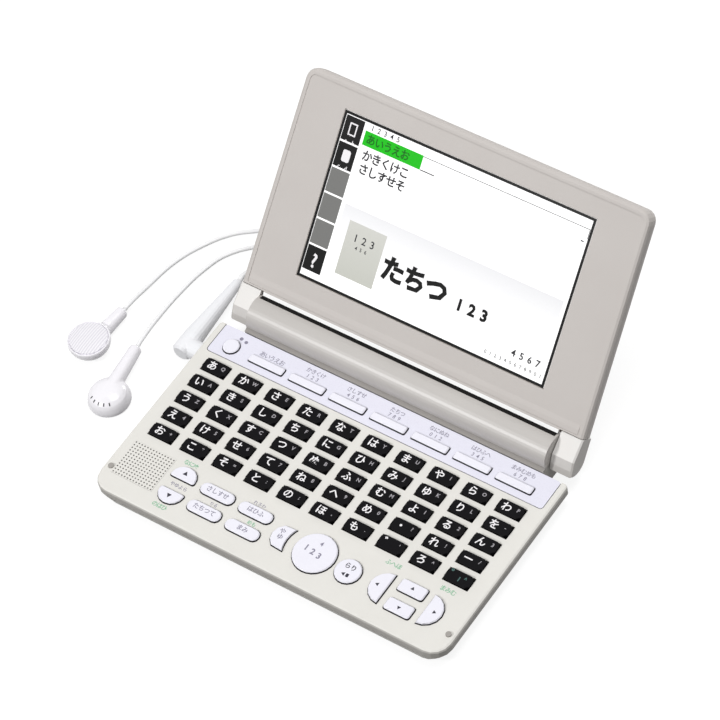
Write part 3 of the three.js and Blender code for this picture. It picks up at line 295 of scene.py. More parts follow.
def lit_screen(name, top, foot, low, high, glow):
    """A part of the lit display behind its clear front: colour grading up the lid between two heights."""
    made, tree, shader = material(name, Roughness=SCREEN_GLOSS, Specular_IOR_Level=0.2,
                                  Emission_Strength=glow)
    spot = add(tree, "ShaderNodeTexCoord")
    split = add(tree, "ShaderNodeSeparateXYZ", links={"Vector": spot.outputs["Object"]})
    bottom = (LID @ Vector((0, low, 0))).z * MM
    head = (LID @ Vector((0, high, 0))).z * MM
    rise = add(tree, "ShaderNodeMapRange", {"From Min": bottom, "From Max": head},
               {"Value": split.outputs["Z"]})
    colour = add(tree, "ShaderNodeMix", {"data_type": "RGBA", 6: linear(foot), 7: linear(top)},
                 {0: rise.outputs["Result"]})
    tree.links.new(colour.outputs[2], shader.inputs["Base Color"])
    tree.links.new(colour.outputs[2], shader.inputs["Emission Color"])
    dots = add(tree, "ShaderNodeTexChecker", {"Scale": 1}, {"Vector": place(tree, SCREEN_DOT)})
    relief = add(tree, "ShaderNodeBump", {"Strength": 0.2, "Distance": 0.002 * MM},
                 {"Height": dots.outputs["Fac"]})
    tree.links.new(relief.outputs["Normal"], shader.inputs["Normal"])
    return made


board_green = green_board()
battery_wrap = cell_wrap()
mesh_white = slotted_grille()
# The display's lit white, behind hard coated acrylic: an even bright face with a clean reflection.
screen_white = lit_screen("acrylic_over_lit_screen", "#FDFDFD", "#FDFDFC", 19, 81, 0.3)
# The picture's grey band, which fades to white towards its top.
screen_band = lit_screen("screen_grey_band", "#DADADC", "#FBFBFB", 27, 50.5, 0.3)
# A small panel in the picture: flat grey with a trace of green, dimmer than the white round it.
screen_picture = lit_screen("screen_picture", "#CFCFC9", "#C3C4BC", 25.6, 45.6, 0.1)
# Other parts of the picture, under the same clear front: flat colours with its gloss.
screen_black = ink("screen_black", "#0A0A0A", SCREEN_GLOSS)
screen_grey = ink("screen_grey_cell", "#7C7C7A", SCREEN_GLOSS)
screen_green = ink("screen_green_bar", "#14C40F", SCREEN_GLOSS)
screen_green_dark = ink("screen_green_mark", "#056D09", SCREEN_GLOSS)
screen_mark = ink("screen_mark_grey", "#38383C", SCREEN_GLOSS)
screen_faint = ink("screen_mark_faint", "#8C8C8E", SCREEN_GLOSS)
# Inks on the keys and the case: dull, thin and a little uneven.
legend_white = ink("legend_ink_white", "#F4F2F4")
legend_grey = ink("legend_ink_grey", "#A9A6AB")
legend_teal = ink("legend_ink_teal", "#4F706C")
print_grey = ink("print_ink_grey", "#8D8A9B")
print_dark = ink("print_ink_dark", "#3A3842")
print_green = ink("print_ink_green", "#8FBF9F")


def dress(finish, *names):
    """Gives CAD nodes a finish."""
    for name in names:
        for holder in nodes[name].material_slots:
            holder.material = finish


function_keys = [f"function_key_{i}" for i in range(1, 8)]
kana_rows = [f"kana_row_{i}" for i in range(1, 6)]
arrow_keys = [f"arrow_{way}_key" for way in ("left", "right", "up", "down")]
command_keys = ["page_up_key", "page_down_key", "text_size_key", "history_key", "shift_key", "clear_key",
                "back_key", "enter_key", "voice_key"]
dress(deck_plastic, "base_upper_case")
dress(case_plastic, "base_lower_case", "battery_cover")
dress(lid_paint, "lid_back_shell", "lid_bezel")
dress(hinge_paint, "hinge_barrel_cover")
dress(cap_paint, "hinge_cap_left", "hinge_cap_right")
dress(strip_film, "label_strip")
dress(white_key, "power_key", *function_keys, *arrow_keys, *command_keys)
dress(black_key, *kana_rows)
dress(foot_rubber, "foot_front_left", "foot_front_right", "foot_rear_left", "foot_rear_right")
dress(mat_rubber_shade_dark, "rubber_key_mat")
dress(dark_plastic, "speaker", "earphone_jack", "display_panel")
dress(board_green, "main_board")
dress(battery_wrap, "battery_left", "battery_right")
dress(hinge_steel, "hinge_pin_left", "hinge_pin_right")
dress(plug_metal, "earphone_plug_pin")
dress(plug_plastic, "earphone_plug")
dress(white_gloss, "earphone_splitter")
dress(mesh_white, "earbud_left_grille", "earbud_right_grille")
dress(screen_white, "display_window")


# Making pieces

def finished(name, mesh, finish, body, smooth=False):
    """Makes an object of a mesh, with its finish, body and material slot."""
    mesh.materials.clear()
    mesh.materials.append(finish)
    if smooth:
        mesh.shade_smooth()
    made = bpy.data.objects.new(name, mesh)
    bpy.context.scene.collection.objects.link(made)
    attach(made, body)
    return made


def mesh_of(shape, name):
    """Turns a shape into a mesh and lets the shape go."""
    mesh = bpy.data.meshes.new(name)
    shape.to_mesh(mesh)
    shape.free()
    return mesh


def plates(name, outlines, low, high, finish, body, plane=DECK):
    """Thin flat plates on a plane, one for each anticlockwise outline, as one piece."""
    shape = bmesh.new()
    for outline in outlines:
        rings = [[shape.verts.new((plane @ Vector((x, y, z))) * MM) for x, y in outline]
                 for z in (low, high)]
        shape.faces.new(rings[0][::-1])
        shape.faces.new(rings[1])
        for i in range(len(outline)):
            j = (i + 1) % len(outline)
            shape.faces.new((rings[0][i], rings[0][j], rings[1][j], rings[1][i]))
    finished(name, mesh_of(shape, name), finish, body)


def strip_along(name, section, left, right_side, finish, body, plane):
    """A straight strip along X with this section, drawn as (back, up) points on the plane's own axes."""
    shape = bmesh.new()
    rings = [[shape.verts.new((plane @ Vector((x, y, z))) * MM) for y, z in section]
             for x in (left, right_side)]
    shape.faces.new(rings[0])
    shape.faces.new(rings[1][::-1])
    for i in range(len(section)):
        j = (i + 1) % len(section)
        shape.faces.new((rings[0][i], rings[1][i], rings[1][j], rings[0][j]))
    bmesh.ops.recalc_face_normals(shape, faces=shape.faces)
    finished(name, mesh_of(shape, name), finish, body)


CORNER_STEPS = 4


def rectangle(left, right_side, foot, head, corner=0.0):
    """A rectangle's outline, with round corners where a radius is given."""
    if not corner:
        return [(left, foot), (right_side, foot), (right_side, head), (left, head)]
    points = []
    for x, y, start in ((right_side - corner, foot + corner, -90), (right_side - corner, head - corner, 0),
                        (left + corner, head - corner, 90), (left + corner, foot + corner, 180)):
        for step in range(CORNER_STEPS + 1):
            turn = math.radians(start + step * 90 / CORNER_STEPS)
            points.append((x + corner * math.cos(turn), y + corner * math.sin(turn)))
    return points


def frame_bars(left, right_side, foot, head, width):
    """Four bars round a rectangle, inside it."""
    return [rectangle(left, right_side, foot, foot + width), rectangle(left, right_side, head - width, head),
            rectangle(left, left + width, foot + width, head - width),
            rectangle(right_side - width, right_side, foot + width, head - width)]


def disc(x, y, radius, steps=24):
    """A disc's outline."""
    return [(x + radius * math.cos(i * math.tau / steps), y + radius * math.sin(i * math.tau / steps))
            for i in range(steps)]


def triangle(x, y, size, turn):
    """A small arrow head that points at this angle, in degrees from the right."""
    return [(x + size * math.cos(math.radians(turn + way)), y + size * math.sin(math.radians(turn + way)))
            for way in (0, 120, 240)]


# A character stands this share of its font size high, with its middle this share above the line.
GLYPH_HEIGHT = 0.78
GLYPH_MIDDLE = 0.36


def letters(name, marks, low, high, finish, body, plane=DECK, weight=0.0):
    """Single characters as thin plates, in one piece.

    A mark is (character, x, y, height), with x and y its middle. Weight thickens the strokes."""
    shape = bmesh.new()
    for character, x, y, height in marks:
        curve = bpy.data.curves.new("character", "FONT")
        curve.body = character
        curve.resolution_u = 2
        curve.align_x = "CENTER"
        curve.extrude = 0.5  # each way, so the plate is one unit thick until it is scaled
        curve.offset = weight
        holder = bpy.data.objects.new("character", curve)
        bpy.context.scene.collection.objects.link(holder)
        bpy.context.view_layer.update()
        mesh = bpy.data.meshes.new_from_object(holder)
        size = height / GLYPH_HEIGHT
        mesh.transform(Matrix.Translation((x, y - GLYPH_MIDDLE * size, (low + high) / 2))
                       @ Matrix.Diagonal((size, size, high - low, 1)))
        mesh.transform(Matrix.Scale(MM, 4) @ plane)
        shape.from_mesh(mesh)
        bpy.data.objects.remove(holder)
        bpy.data.curves.remove(curve)
        bpy.data.meshes.remove(mesh)
    finished(name, mesh_of(shape, name), finish, body)


def line_from(text, x, y, height, pitch):
    """Characters in a row, with x the middle of the first."""
    return [(c, x + pitch * i, y, height) for i, c in enumerate(text)]


def row_of(text, x, y, height, pitch):
    """Characters in a row, with x the row's middle."""
    return [(c, x + (i - (len(text) - 1) / 2) * pitch, y, height) for i, c in enumerate(text)]


def face_of(node, plane):
    """How far a node reaches out of a plane, in millimetres."""
    back = plane.inverted()
    return max((back @ (v.co / MM)).z for v in nodes[node].data.vertices)


# Earbuds

BUD_DEPTH = 7
# Section of a bud's shell as (radius, height) with its back on the table.
BUD_WALL = [(0.05, 0), (2, 0.05), (3.9, 0.5), (5.5, 1.25), (6.7, 2.2), (7.45, 3.4), (7.85, 4.7), (8, 5.6),
            (7.9, 6.5), (7.65, 6.95), (7.35, 6.95), (7.3, 6.1), (0.05, 6.1)]
BUD_STEPS = 64
STEM_HEIGHT = 3
STEM_WIDE = 3
STEM_NARROW = 2.3
STEM_STEPS = 32
# The shell and the stem are melted together on a grid this fine, then eased.
BUD_GRID = 0.32
EASING = 0.5
EASING_ROUNDS = 6


def earbud(name, middle, heading, reach, grille_up, replaced):
    """An earbud's shell and stem as one smooth moulding, lying on the table on its back or on its grille."""
    shape = bmesh.new()
    rings = []
    for radius, height in BUD_WALL:
        rings.append([shape.verts.new((radius * math.cos(i * math.tau / BUD_STEPS),
                                       radius * math.sin(i * math.tau / BUD_STEPS), height))
                      for i in range(BUD_STEPS)])
    stem = []
    # Stations along the stem as (distance from the bud's middle, radius), with a rounded end.
    stations = [(-3, 1.6), (0, STEM_WIDE - 0.3), (3, STEM_WIDE), (reach - 1.2, STEM_NARROW + 0.05),
                (reach - 0.35, STEM_NARROW - 0.1), (reach, STEM_NARROW - 0.55)]
    for along, radius in stations:
        stem.append([shape.verts.new((along, radius * math.cos(i * math.tau / STEM_STEPS),
                                      STEM_HEIGHT + radius * math.sin(i * math.tau / STEM_STEPS)))
                     for i in range(STEM_STEPS)])
    for group in (rings, stem):
        for lower, upper in zip(group, group[1:]):
            for i in range(len(lower)):
                j = (i + 1) % len(lower)
                shape.faces.new((lower[i], lower[j], upper[j], upper[i]))
        shape.faces.new(group[0][::-1])
        shape.faces.new(group[-1])
    bmesh.ops.recalc_face_normals(shape, faces=shape.faces)
    rough = bpy.data.objects.new("bud_blank", mesh_of(shape, "bud_blank"))
    bpy.context.scene.collection.objects.link(rough)
    joined = rough.modifiers.new("joined", "REMESH")
    joined.mode = "VOXEL"
    joined.voxel_size = BUD_GRID
    eased_edges = rough.modifiers.new("eased", "SMOOTH")
    eased_edges.factor = EASING
    eased_edges.iterations = EASING_ROUNDS
    bpy.context.view_layer.update()
    mesh = bpy.data.meshes.new_from_object(rough.evaluated_get(bpy.context.evaluated_depsgraph_get()))
    bpy.data.objects.remove(rough)
    turned = Matrix.Rotation(math.radians(heading), 4, "Z")
    if not grille_up:
        turned = Matrix.Translation((0, 0, BUD_DEPTH)) @ turned @ Matrix.Rotation(math.pi, 4, "X")
    mesh.transform(Matrix.Scale(MM, 4) @ DECK @ Matrix.Translation((*middle, 0)) @ turned)
    made = finished(name, mesh, white_gloss, "earphones", True)
    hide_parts(replaced)
    return made


REAR_BUD = (-113.5, -36)
FRONT_BUD = (-94.1, -51)
rear_bud = earbud("earbud_shell_left", REAR_BUD, 85, 18, True, "earbud_left")
front_bud = earbud("earbud_shell_right", FRONT_BUD, 98, 21.5, False, "earbud_right")


VENT_TURNS = (234, 254, 274, 294, 314)
VENT_HALF_WIDTH = 0.2
VENT_LAYERS = (-0.4, 0.1)  # from under the dome's face to just out of it
# Each end of a slot: its reach from the bud's middle, and how far the dome has fallen there.
VENT_INNER_REACH, VENT_INNER_FALL = 5.5, 1.25
VENT_OUTER_REACH, VENT_OUTER_FALL = 6.4, 1.95


def vents():
    """Five short slots in the front bud's dome."""
    shape = bmesh.new()
    for turn in VENT_TURNS:
        heading = math.radians(turn)
        out = Vector((math.cos(heading), math.sin(heading), 0))
        aside = out.cross(Vector((0, 0, VENT_HALF_WIDTH)))
        layers = []
        for raise_by in VENT_LAYERS:
            inner = Vector((*FRONT_BUD, BUD_DEPTH - VENT_INNER_FALL + raise_by)) + out * VENT_INNER_REACH
            outer = Vector((*FRONT_BUD, BUD_DEPTH - VENT_OUTER_FALL + raise_by)) + out * VENT_OUTER_REACH
            layers.append([shape.verts.new((DECK @ corner) * MM)
                           for corner in (inner - aside, outer - aside, outer + aside, inner + aside)])
        shape.faces.new(layers[0])
        shape.faces.new(layers[1])
        for i in range(4):
            j = (i + 1) % 4
            shape.faces.new((layers[0][i], layers[0][j], layers[1][j], layers[1][i]))
    bmesh.ops.recalc_face_normals(shape, faces=shape.faces)
    finished("earbud_vents", mesh_of(shape, "earbud_vents"), dark_plastic, "earphones")


vents()


# Cords

LEAD_WIDTH = 2
BRANCH_WIDTH = 1.6
# Routes are deck points along a cord's middle line, from the plug's or the splitter's end on.
LEAD_ROUTE = [(-81.2, 11.8, 4.5), (-81.2, 15.8, 4.5), (-76, 23.9, 2.2), (-64, 27.9, 1), (-46, 23.9, 1),
              (-26, 21.4, 1), (-10, 24.9, 1)]
COIL_MIDDLE = (5, 35.9)
COIL_RADIUS = 11
COIL_PITCH = 2.45
COIL_LAYERS = 4
TURNS_A_LAYER = 2
STEPS_A_TURN = 24
CLIMB_SHARE = 0.125  # share of a layer's turns in which the cord climbs to the next
# The lead leaves the coil's top layer, falls past its outside and ends in the splitter.
TAIL_BACK = 24.9
TAIL_TOP = 8.35
TAIL_FOOT = 1.7
TAIL_LEVEL = (8, 11, 14)
TAIL_FALL = 14
TAIL_STEPS = 8
TAIL_END = 30
LEFT_ROUTE = [(41.6, 23.4, 1.7), (44.6, 23.4, 1.7), (49, 24.9, 1.1), (54, 33.9, 0.8), (53, 47.9, 0.8),
              (38, 65.9, 0.8), (18, 71.9, 0.8), (-4, 65.9, 0.8), (-22, 73.9, 0.8), (-36, 87.9, 0.8),
              (-58, 85.9, 0.8), (-72, 69.9, 0.8), (-78, 51.9, 0.8), (-88.5, 38.2, 0.8), (-98.3, 30.4, 0.8),
              (-104.8, 21.2, 0.8), (-109.6, 10, 0.8), (-111.8, -4, 1.1), (-111.8, -14.77, 3),
              (-111.9, -17.77, 3)]
RIGHT_ROUTE = [(41.6, 26.4, 1.7), (44.1, 26.6, 1.5), (48, 32.9, 0.8), (46, 41.5, 0.8), (40, 52, 0.8),
               (28, 60, 0.8), (12, 58, 0.8), (-4, 56.5, 0.8), (-19, 63, 0.8), (-33, 71, 0.8), (-48, 69, 0.8),
               (-62, 56, 0.8), (-71, 41, 0.8), (-85, 31.6, 0.8), (-94.6, 21.6, 0.8), (-98, 12, 0.8),
               (-99.7, 0, 0.8), (-99.9, -13, 1.2), (-97.73, -26.41, 3.7), (-97.13, -29.41, 4)]
LEAD_LENGTH = 553
LEFT_LENGTH = 285
RIGHT_LENGTH = 246


def eased(share):
    """Starts and stops gently between 0 and 1."""
    return share * share * (3 - 2 * share)


def coil_route():
    """The lead's spare length in a neat round coil, two turns to a layer."""
    radius = LEAD_WIDTH / 2
    points = []
    turns = COIL_LAYERS * TURNS_A_LAYER
    for step in range(turns * STEPS_A_TURN + 1):
        turned = step / STEPS_A_TURN
        layer = min(int(turned / TURNS_A_LAYER), COIL_LAYERS - 1)
        within = turned / TURNS_A_LAYER - layer
        inward = within if layer % 2 == 0 else 1 - within
        climb = 0
        if within > 1 - CLIMB_SHARE and layer < COIL_LAYERS - 1:
            climb = eased((within - 1 + CLIMB_SHARE) / CLIMB_SHARE)
        angle = -math.pi / 2 + turned * math.tau
        reach = COIL_RADIUS - inward * TURNS_A_LAYER * COIL_PITCH
        points.append((COIL_MIDDLE[0] + reach * math.cos(angle), COIL_MIDDLE[1] + reach * math.sin(angle),
                       radius + COIL_PITCH * (layer + climb)))
    return points


def cord(name, route, width, length, lay, with_pieces, *replaced):
    """A cord as a smooth round tube along its route, which starts where the cord leaves its fitting."""
    curve = bpy.data.curves.new(name, "CURVE")
    curve.dimensions = "3D"
    curve.resolution_u = 6
    curve.bevel_depth = width / 2 * MM
    curve.bevel_resolution = 4
    curve.use_fill_caps = True
    spline = curve.splines.new("BEZIER")
    spline.bezier_points.add(len(route) - 1)
    for knot, (x, y, z) in zip(spline.bezier_points, route):
        knot.co = (DECK @ Vector((x, y, z))) * MM
        knot.handle_left_type = knot.handle_right_type = "AUTO"
    curve.materials.append(cord_rubber)
    made = bpy.data.objects.new(name, curve)
    bpy.context.scene.collection.objects.link(made)
    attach(made, "earphones")
    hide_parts(*replaced)


def coil_tie():
    """A flat twist tie that holds the coil's turns together: a thin band round them at one place."""
    inner, outer, foot, head = 4.85, 12.25, 0.02, 9.6
    wide, thick, corner = 2.4, 0.3, 2.2
    loop = rectangle(inner, outer, foot, head, corner)
    inside = rectangle(inner + thick, outer - thick, foot + thick, head - thick, corner - thick)
    shape = bmesh.new()
    rings = []
    for outline in (loop, inside):
        for side in (-wide / 2, wide / 2):
            rings.append([
                shape.verts.new((DECK @ Vector((COIL_MIDDLE[0] + side, COIL_MIDDLE[1] + reach, z))) * MM)
                for reach, z in outline])
    outer_near, outer_far, inner_near, inner_far = rings
    for first, second in ((outer_near, outer_far), (outer_far, inner_far), (inner_far, inner_near),
                          (inner_near, outer_near)):
        for i in range(len(first)):
            j = (i + 1) % len(first)
            shape.faces.new((first[i], first[j], second[j], second[i]))
    bmesh.ops.recalc_face_normals(shape, faces=shape.faces)
    return finished("coil_tie", mesh_of(shape, "coil_tie"), dark_plastic, "earphones")


def tail_route():
    """The lead's way down from the coil's top to the splitter."""
    start = TAIL_LEVEL[-1]
    level = [(x, TAIL_BACK, TAIL_TOP) for x in TAIL_LEVEL]
    fall = [(start + TAIL_FALL * i / TAIL_STEPS, TAIL_BACK,
             TAIL_TOP - (TAIL_TOP - TAIL_FOOT) * eased(i / TAIL_STEPS)) for i in range(1, TAIL_STEPS + 1)]
    return level + fall + [(TAIL_END, TAIL_BACK, TAIL_FOOT)]


tie = coil_tie()
cord("cord_lead", LEAD_ROUTE + coil_route() + tail_route(), LEAD_WIDTH, LEAD_LENGTH, "coiled",
     [nodes["earphone_plug"], nodes["earphone_plug_pin"], nodes["earphone_splitter"], tie],
     "earphone_cord_lead", "earphone_cord_coil")
cord("cord_to_left_earbud", LEFT_ROUTE, BRANCH_WIDTH, LEFT_LENGTH, "loose",
     [rear_bud, nodes["earbud_left_grille"]], "earphone_cord_left")
cord("cord_to_right_earbud", RIGHT_ROUTE, BRANCH_WIDTH, RIGHT_LENGTH, "loose",
     [front_bud, nodes["earbud_right_grille"]], "earphone_cord_right")


# The screen

WINDOW = (-52, 52, 19.2, 81.4)  # left, right, foot and head on the lid
GLASS = face_of("display_window", LID)
FILM = 0.03
FILM_SUNK = 0.02
# The column of square cells at the picture's left edge.
COLUMN = (-50.8, -43.1)
CELL_TOP = 80.1
CELL_PITCH = 9.72
CELL_GAP = 0.7
CELL_COUNT = 6


def on_screen(name, outlines, finish, level):
    """A part of the display's picture, as a film on the window's face. Higher levels lie over lower ones."""
    plates(name, outlines, GLASS - FILM_SUNK, GLASS + FILM * level, finish, "lid", LID)


def screen_letters(name, marks, finish, level, weight):
    """Characters in the display's picture."""
    letters(name, marks, GLASS, GLASS + level * FILM, finish, "lid", LID, weight)


cells = [rectangle(*COLUMN, CELL_TOP - (i + 1) * CELL_PITCH + CELL_GAP, CELL_TOP - i * CELL_PITCH)
         for i in range(CELL_COUNT)]
on_screen("window_border", frame_bars(*WINDOW, 1), screen_black, 2)
on_screen("screen_grey_band", [rectangle(-41.6, 49.6, 27, 50.5)], screen_band, 1)
on_screen("screen_icon_cells", [cells[0], cells[1], cells[5]], screen_black, 2)
on_screen("screen_grey_cells", cells[2:5], screen_grey, 2)
on_screen("screen_highlight_bar", [rectangle(-42, -17.6, 72.2, 77.4)], screen_green, 2)
on_screen("screen_entry_box", [rectangle(-17.6, 50.9, 77, 77.2), rectangle(50.7, 50.9, 73.7, 77),
                               rectangle(-17.4, -11.6, 72.1, 72.45), rectangle(48.6, 49.8, 72.2, 72.6)],
          screen_mark, 2)
on_screen("screen_picture_panel", [rectangle(-37.8, -22, 25.7, 45.6)], screen_picture, 2)
on_screen("screen_icon_marks", frame_bars(-48.6, -45.4, 73.4, 78, 0.5)
          + [rectangle(-48.2, -45, 63.8, 68.2, 0.8)], legend_white, 3)
screen_letters("screen_icon_letters", line_from("ab", -48.4, 71.2, 1.7, 3)
               + line_from("cd", -48.4, 61.9, 1.7, 3), legend_white, 3, 0.01)
screen_letters("screen_help_mark", [("?", -46.9, 26.6, 5.6)], legend_white, 3, 0.02)
screen_letters("screen_top_line", line_from("12345", -39.6, 79, 2.1, 2.7), screen_mark, 2, 0.012)
screen_letters("screen_bar_line", line_from("あいうえお", -39, 74.8, 3, 3.6), screen_green_dark, 3, 0.02)
screen_letters("screen_list_lines", line_from("かきくけこ", -38.6, 69, 3.3, 3.9)
               + line_from("さしすせそ", -38.6, 64.1, 3.3, 3.9), screen_mark, 2, 0.025)
screen_letters("screen_picture_marks", line_from("123", -33.6, 40.4, 3, 3.5)
               + line_from("456", -32.4, 37, 1.5, 2), screen_mark, 3, 0.012)
screen_letters("screen_large_line", line_from("たちつ", -16, 35.2, 7.4, 9.1)
               + line_from("123", 12.4, 34, 4.4, 5.1), screen_black, 3, 0.045)
screen_letters("screen_foot_line", line_from("4567", 37.4, 26.4, 2.7, 3.3), screen_mark, 3, 0.02)
screen_letters("screen_small_foot_line", line_from("012345678901", 27, 22.7, 1.5, 2.05), screen_faint, 3, 0.01)


# Strips on the lid and the barrel: a pale edge with painted highlight, painted shadow and painted shade, and a
# step

HALF_LID_EDGE_STRIP = 62.4
HALF_BARREL = 63.2
HALF_STEP = 69.5
# Section of the lid's white strip, partly pale edge and partly painted highlight, as (up the lid, out of the
# screen side).
LIP = [(7.05, -0.3), (6.92, 0.1), (6.86, 0.68), (6.94, 0.9), (8.28, 0.88), (8.28, 0.8), (7.5, 0.4)]
strip_along("lid_lip_painted_highlight", LIP, -HALF_LID_EDGE_STRIP, HALF_LID_EDGE_STRIP, lip_white_highlight, "lid", LID)
BARREL_RADIUS = 6.7
# The black strip on the barrel under the lid's edge is painted shadow of the gap between them.
GAP_SHADOW_OUTER = BARREL_RADIUS + 0.06
GAP_SHADOW_INNER = BARREL_RADIUS - 0.1
GAP_SHADOW_ANGLES = [math.radians(a) for a in (50, 55, 60, 65, 70)]
gap_shadow_section = [(GAP_SHADOW_OUTER * math.cos(a), GAP_SHADOW_OUTER * math.sin(a)) for a in GAP_SHADOW_ANGLES]
gap_shadow_section += [(GAP_SHADOW_INNER * math.cos(a), GAP_SHADOW_INNER * math.sin(a)) for a in GAP_SHADOW_ANGLES[::-1]]
strip_along("barrel_painted_gap_shadow", gap_shadow_section, -HALF_LID_EDGE_STRIP, HALF_LID_EDGE_STRIP, gap_shadow_black, "base", HINGE)
# Section of the grey strip of painted shade in the crease between the barrel and its skirt, as (back, up) from
# the hinge axis.
FOOT_SHADE_SECTION = [(-6.62, -0.55), (-6.75, -0.9), (-7.42, -1.28), (-8.14, -1.48), (-8.14, -1.6), (-7.4, -1.45),
             (-6.7, -1.1)]
strip_along("barrel_foot_painted_shade", FOOT_SHADE_SECTION, -HALF_BARREL, HALF_BARREL, foot_painted_shade, "base", HINGE)
# Section of the low step that runs along the lid's lower edge above the trim.
STEP = [(9.1, 0.55), (9.3, 0.83), (11, 0.83), (12.8, 0.61), (12.8, 0.55)]
strip_along("lid_lower_step", STEP, -HALF_STEP, HALF_STEP, lid_paint, "lid", LID)


# Key legends

KANA_PITCH = 13.879
KANA_ROW_PITCH = 7.95
KANA_FIRST_ROW = -26.25
KANA_MIDDLE = -0.45
HALF_ROW = 4.5
KANA_PLACE = (-1.4, 0.1, 3.1)  # right and back from a key's middle, and height
ROMAN_PLACE = (3, 0.6, 1.6)
KANA = ["あかさたなはまやらわ", "いきしちにひみゆりを", "うくすつぬふむよるん", "えけせてねへめ・れー", "おこそとのほも゛ろ゜"]
ROMAN = ["QWERTYUIOP", "ASDFGHJKL-", "ZXCVBNM123", "4567890?!/", "+*=:;,.'^~"]
key_middles = [KANA_MIDDLE + (i - HALF_ROW) * KANA_PITCH for i in range(10)]


def kana_letters(name, node, marks, finish, weight):
    """Characters on the black keys of one row."""
    letters(name, marks, KEY_FACE - INK_SUNK, KEY_FACE + KANA_PROUD, finish, node, DECK, weight)


for row, (kana, roman) in enumerate(zip(KANA, ROMAN)):
    node = kana_rows[row]
    y = KANA_FIRST_ROW - row * KANA_ROW_PITCH
    plain = 9 if row == 4 else 10  # the last key of all has marks of its own
    for part, text, place_on_key, finish, weight in (("kana", kana, KANA_PLACE, legend_white, 0.017),
                                                     ("letters", roman, ROMAN_PLACE, legend_grey, 0.02)):
        aside, behind, height = place_on_key
        marks = [(c, x + aside, y + behind, height) for c, x in zip(text[:plain], key_middles)]
        kana_letters(f"{node}_{part}", node, marks, finish, weight)
last_x = KANA_MIDDLE + HALF_ROW * KANA_PITCH
last_y = KANA_FIRST_ROW - 4 * KANA_ROW_PITCH
kana_letters("kana_row_5_green_marks", "kana_row_5",
             [("゜", last_x - 1.9, last_y + 0.35, 3.2), ("^", last_x + 2.4, last_y + 0.5, 1.7),
              ("1", last_x + 0.4, last_y - 0.4, 2)], legend_teal, 0.02)


def key_letters(node, marks, finish=print_grey, weight=0.012):
    """Printed characters on a key's top."""
    top = face_of(node, DECK)
    letters(f"{node}_letters", marks, top - INK_SUNK, top + INK_PROUD, finish, node, DECK, weight)


def key_marks(node, outlines):
    """Printed marks on a key's top."""
    top = face_of(node, DECK)
    plates(f"{node}_marks", outlines, top - INK_SUNK, top + INK_PROUD, print_dark, node)


key_marks("page_up_key", [triangle(-45.4, -68.6, 1.1, 90)])
key_marks("page_down_key", [triangle(-45.4, -78.6, 1.1, -90)])
for node, x, y, text in (("text_size_key", -30.85, -69.7, "さしすせ"), ("history_key", -30.85, -77.75, "たちつて"),
                         ("shift_key", -14.55, -69.7, "はひふ"), ("clear_key", -14.55, -77.75, "まみ")):
    key_letters(node, row_of(text, x, y + 0.2, 1.9, 2.3))
key_letters("back_key", [("や", -1.6, -71.6, 1.9), ("ゆ", -1.2, -73.9, 1.9)])
key_letters("enter_key", [("1", 9.4, -72.9, 2.5), ("2", 12.3, -73.4, 2.5), ("3", 15.2, -73.9, 2.5),
                          ("4", 13.4, -69.4, 1.8)], print_grey, 0.03)
key_letters("voice_key", [("ら", 26.2, -72.2, 1.9), ("り", 28.6, -72.3, 1.9)], print_dark, 0.02)
key_marks("voice_key", [triangle(26.6, -75.7, 0.9, 180), rectangle(27.6, 28.7, -76.4, -75)])
for node, x, y, turn in (("arrow_left_key", 39.2, -73.55, 180), ("arrow_right_key", 62.4, -73.55, 0),
                         ("arrow_up_key", 50.85, -69.3, 90), ("arrow_down_key", 50.85, -77.8, -90)):
    key_marks(node, [triangle(x, y, 0.85, turn)])


# Printing on the case

def printed(name, marks, finish, weight=0.01, face=DECK_FACE):
    """Printed characters on the deck, or on a face at another height."""
    letters(name, marks, face - INK_SUNK, face + INK_PROUD, finish, "base", DECK, weight)


STRIP_FIRST = -47.6
STRIP_PITCH = 17.48
strip_face = face_of("label_strip", DECK)
strip_marks = row_of("あいうえお", STRIP_FIRST, -13, 1.9, 2.1)
for i, (upper_row, lower_row) in enumerate((("かきくけ", "123"), ("さしすせ", "456"), ("たちつ", "789"),
                                            ("なにぬね", "012"), ("はひふへ", "345"), ("まみむめも", "678"))):
    x = STRIP_FIRST + STRIP_PITCH * (i + 1)
    strip_marks += row_of(upper_row, x, -10.7, 1.7, 2) + row_of(lower_row, x, -13, 1.7, 2)
printed("label_strip_marks", strip_marks, print_grey, 0.008, strip_face)
plates("power_marks", [disc(-62.4, -11.2, 0.75, 8), disc(-60, -11.7, 0.7, 8)], strip_face - INK_SUNK,
       strip_face + INK_PROUD, print_grey, "base")
printed("green_marks", row_of("なにぬ", -46.4, -63.9, 1.8, 2) + row_of("のはひ", -46.2, -83.4, 1.8, 2)
        + row_of("ふへほ", 39.2, -63.8, 1.8, 2.1) + row_of("まみむ", 61.3, -63.6, 1.8, 2.1)
        + row_of("めも", -13.4, -73.9, 1.5, 1.8), print_green, 0.02)
printed("grey_marks", row_of("やゆよら", -44.9, -73.6, 1.5, 1.8) + row_of("りる", -29.6, -73.9, 1.3, 1.6)
        + row_of("れろわ", -15.4, -66, 1.3, 1.7), print_grey)


# Speaker grille and rubber dots

# Rows of holes, counted from the grille's left and front edge.
GRILLE_LEFT = -69.9
GRILLE_FOOT = -80.1
GRILLE_COLUMNS = 14
GRILLE_ROWS = 12
GRILLE_PITCH = 1.26
GRILLE_HOLE = 0.31
HOLE_SIDES = 8
GRILLE_LAYERS = (DECK_FACE + 0.02, DECK_FACE + 0.08)
GRILLE_RIGHT = GRILLE_LEFT + GRILLE_COLUMNS * GRILLE_PITCH
GRILLE_HEAD = GRILLE_FOOT + GRILLE_ROWS * GRILLE_PITCH
BUMPER_RADIUS = 1.05


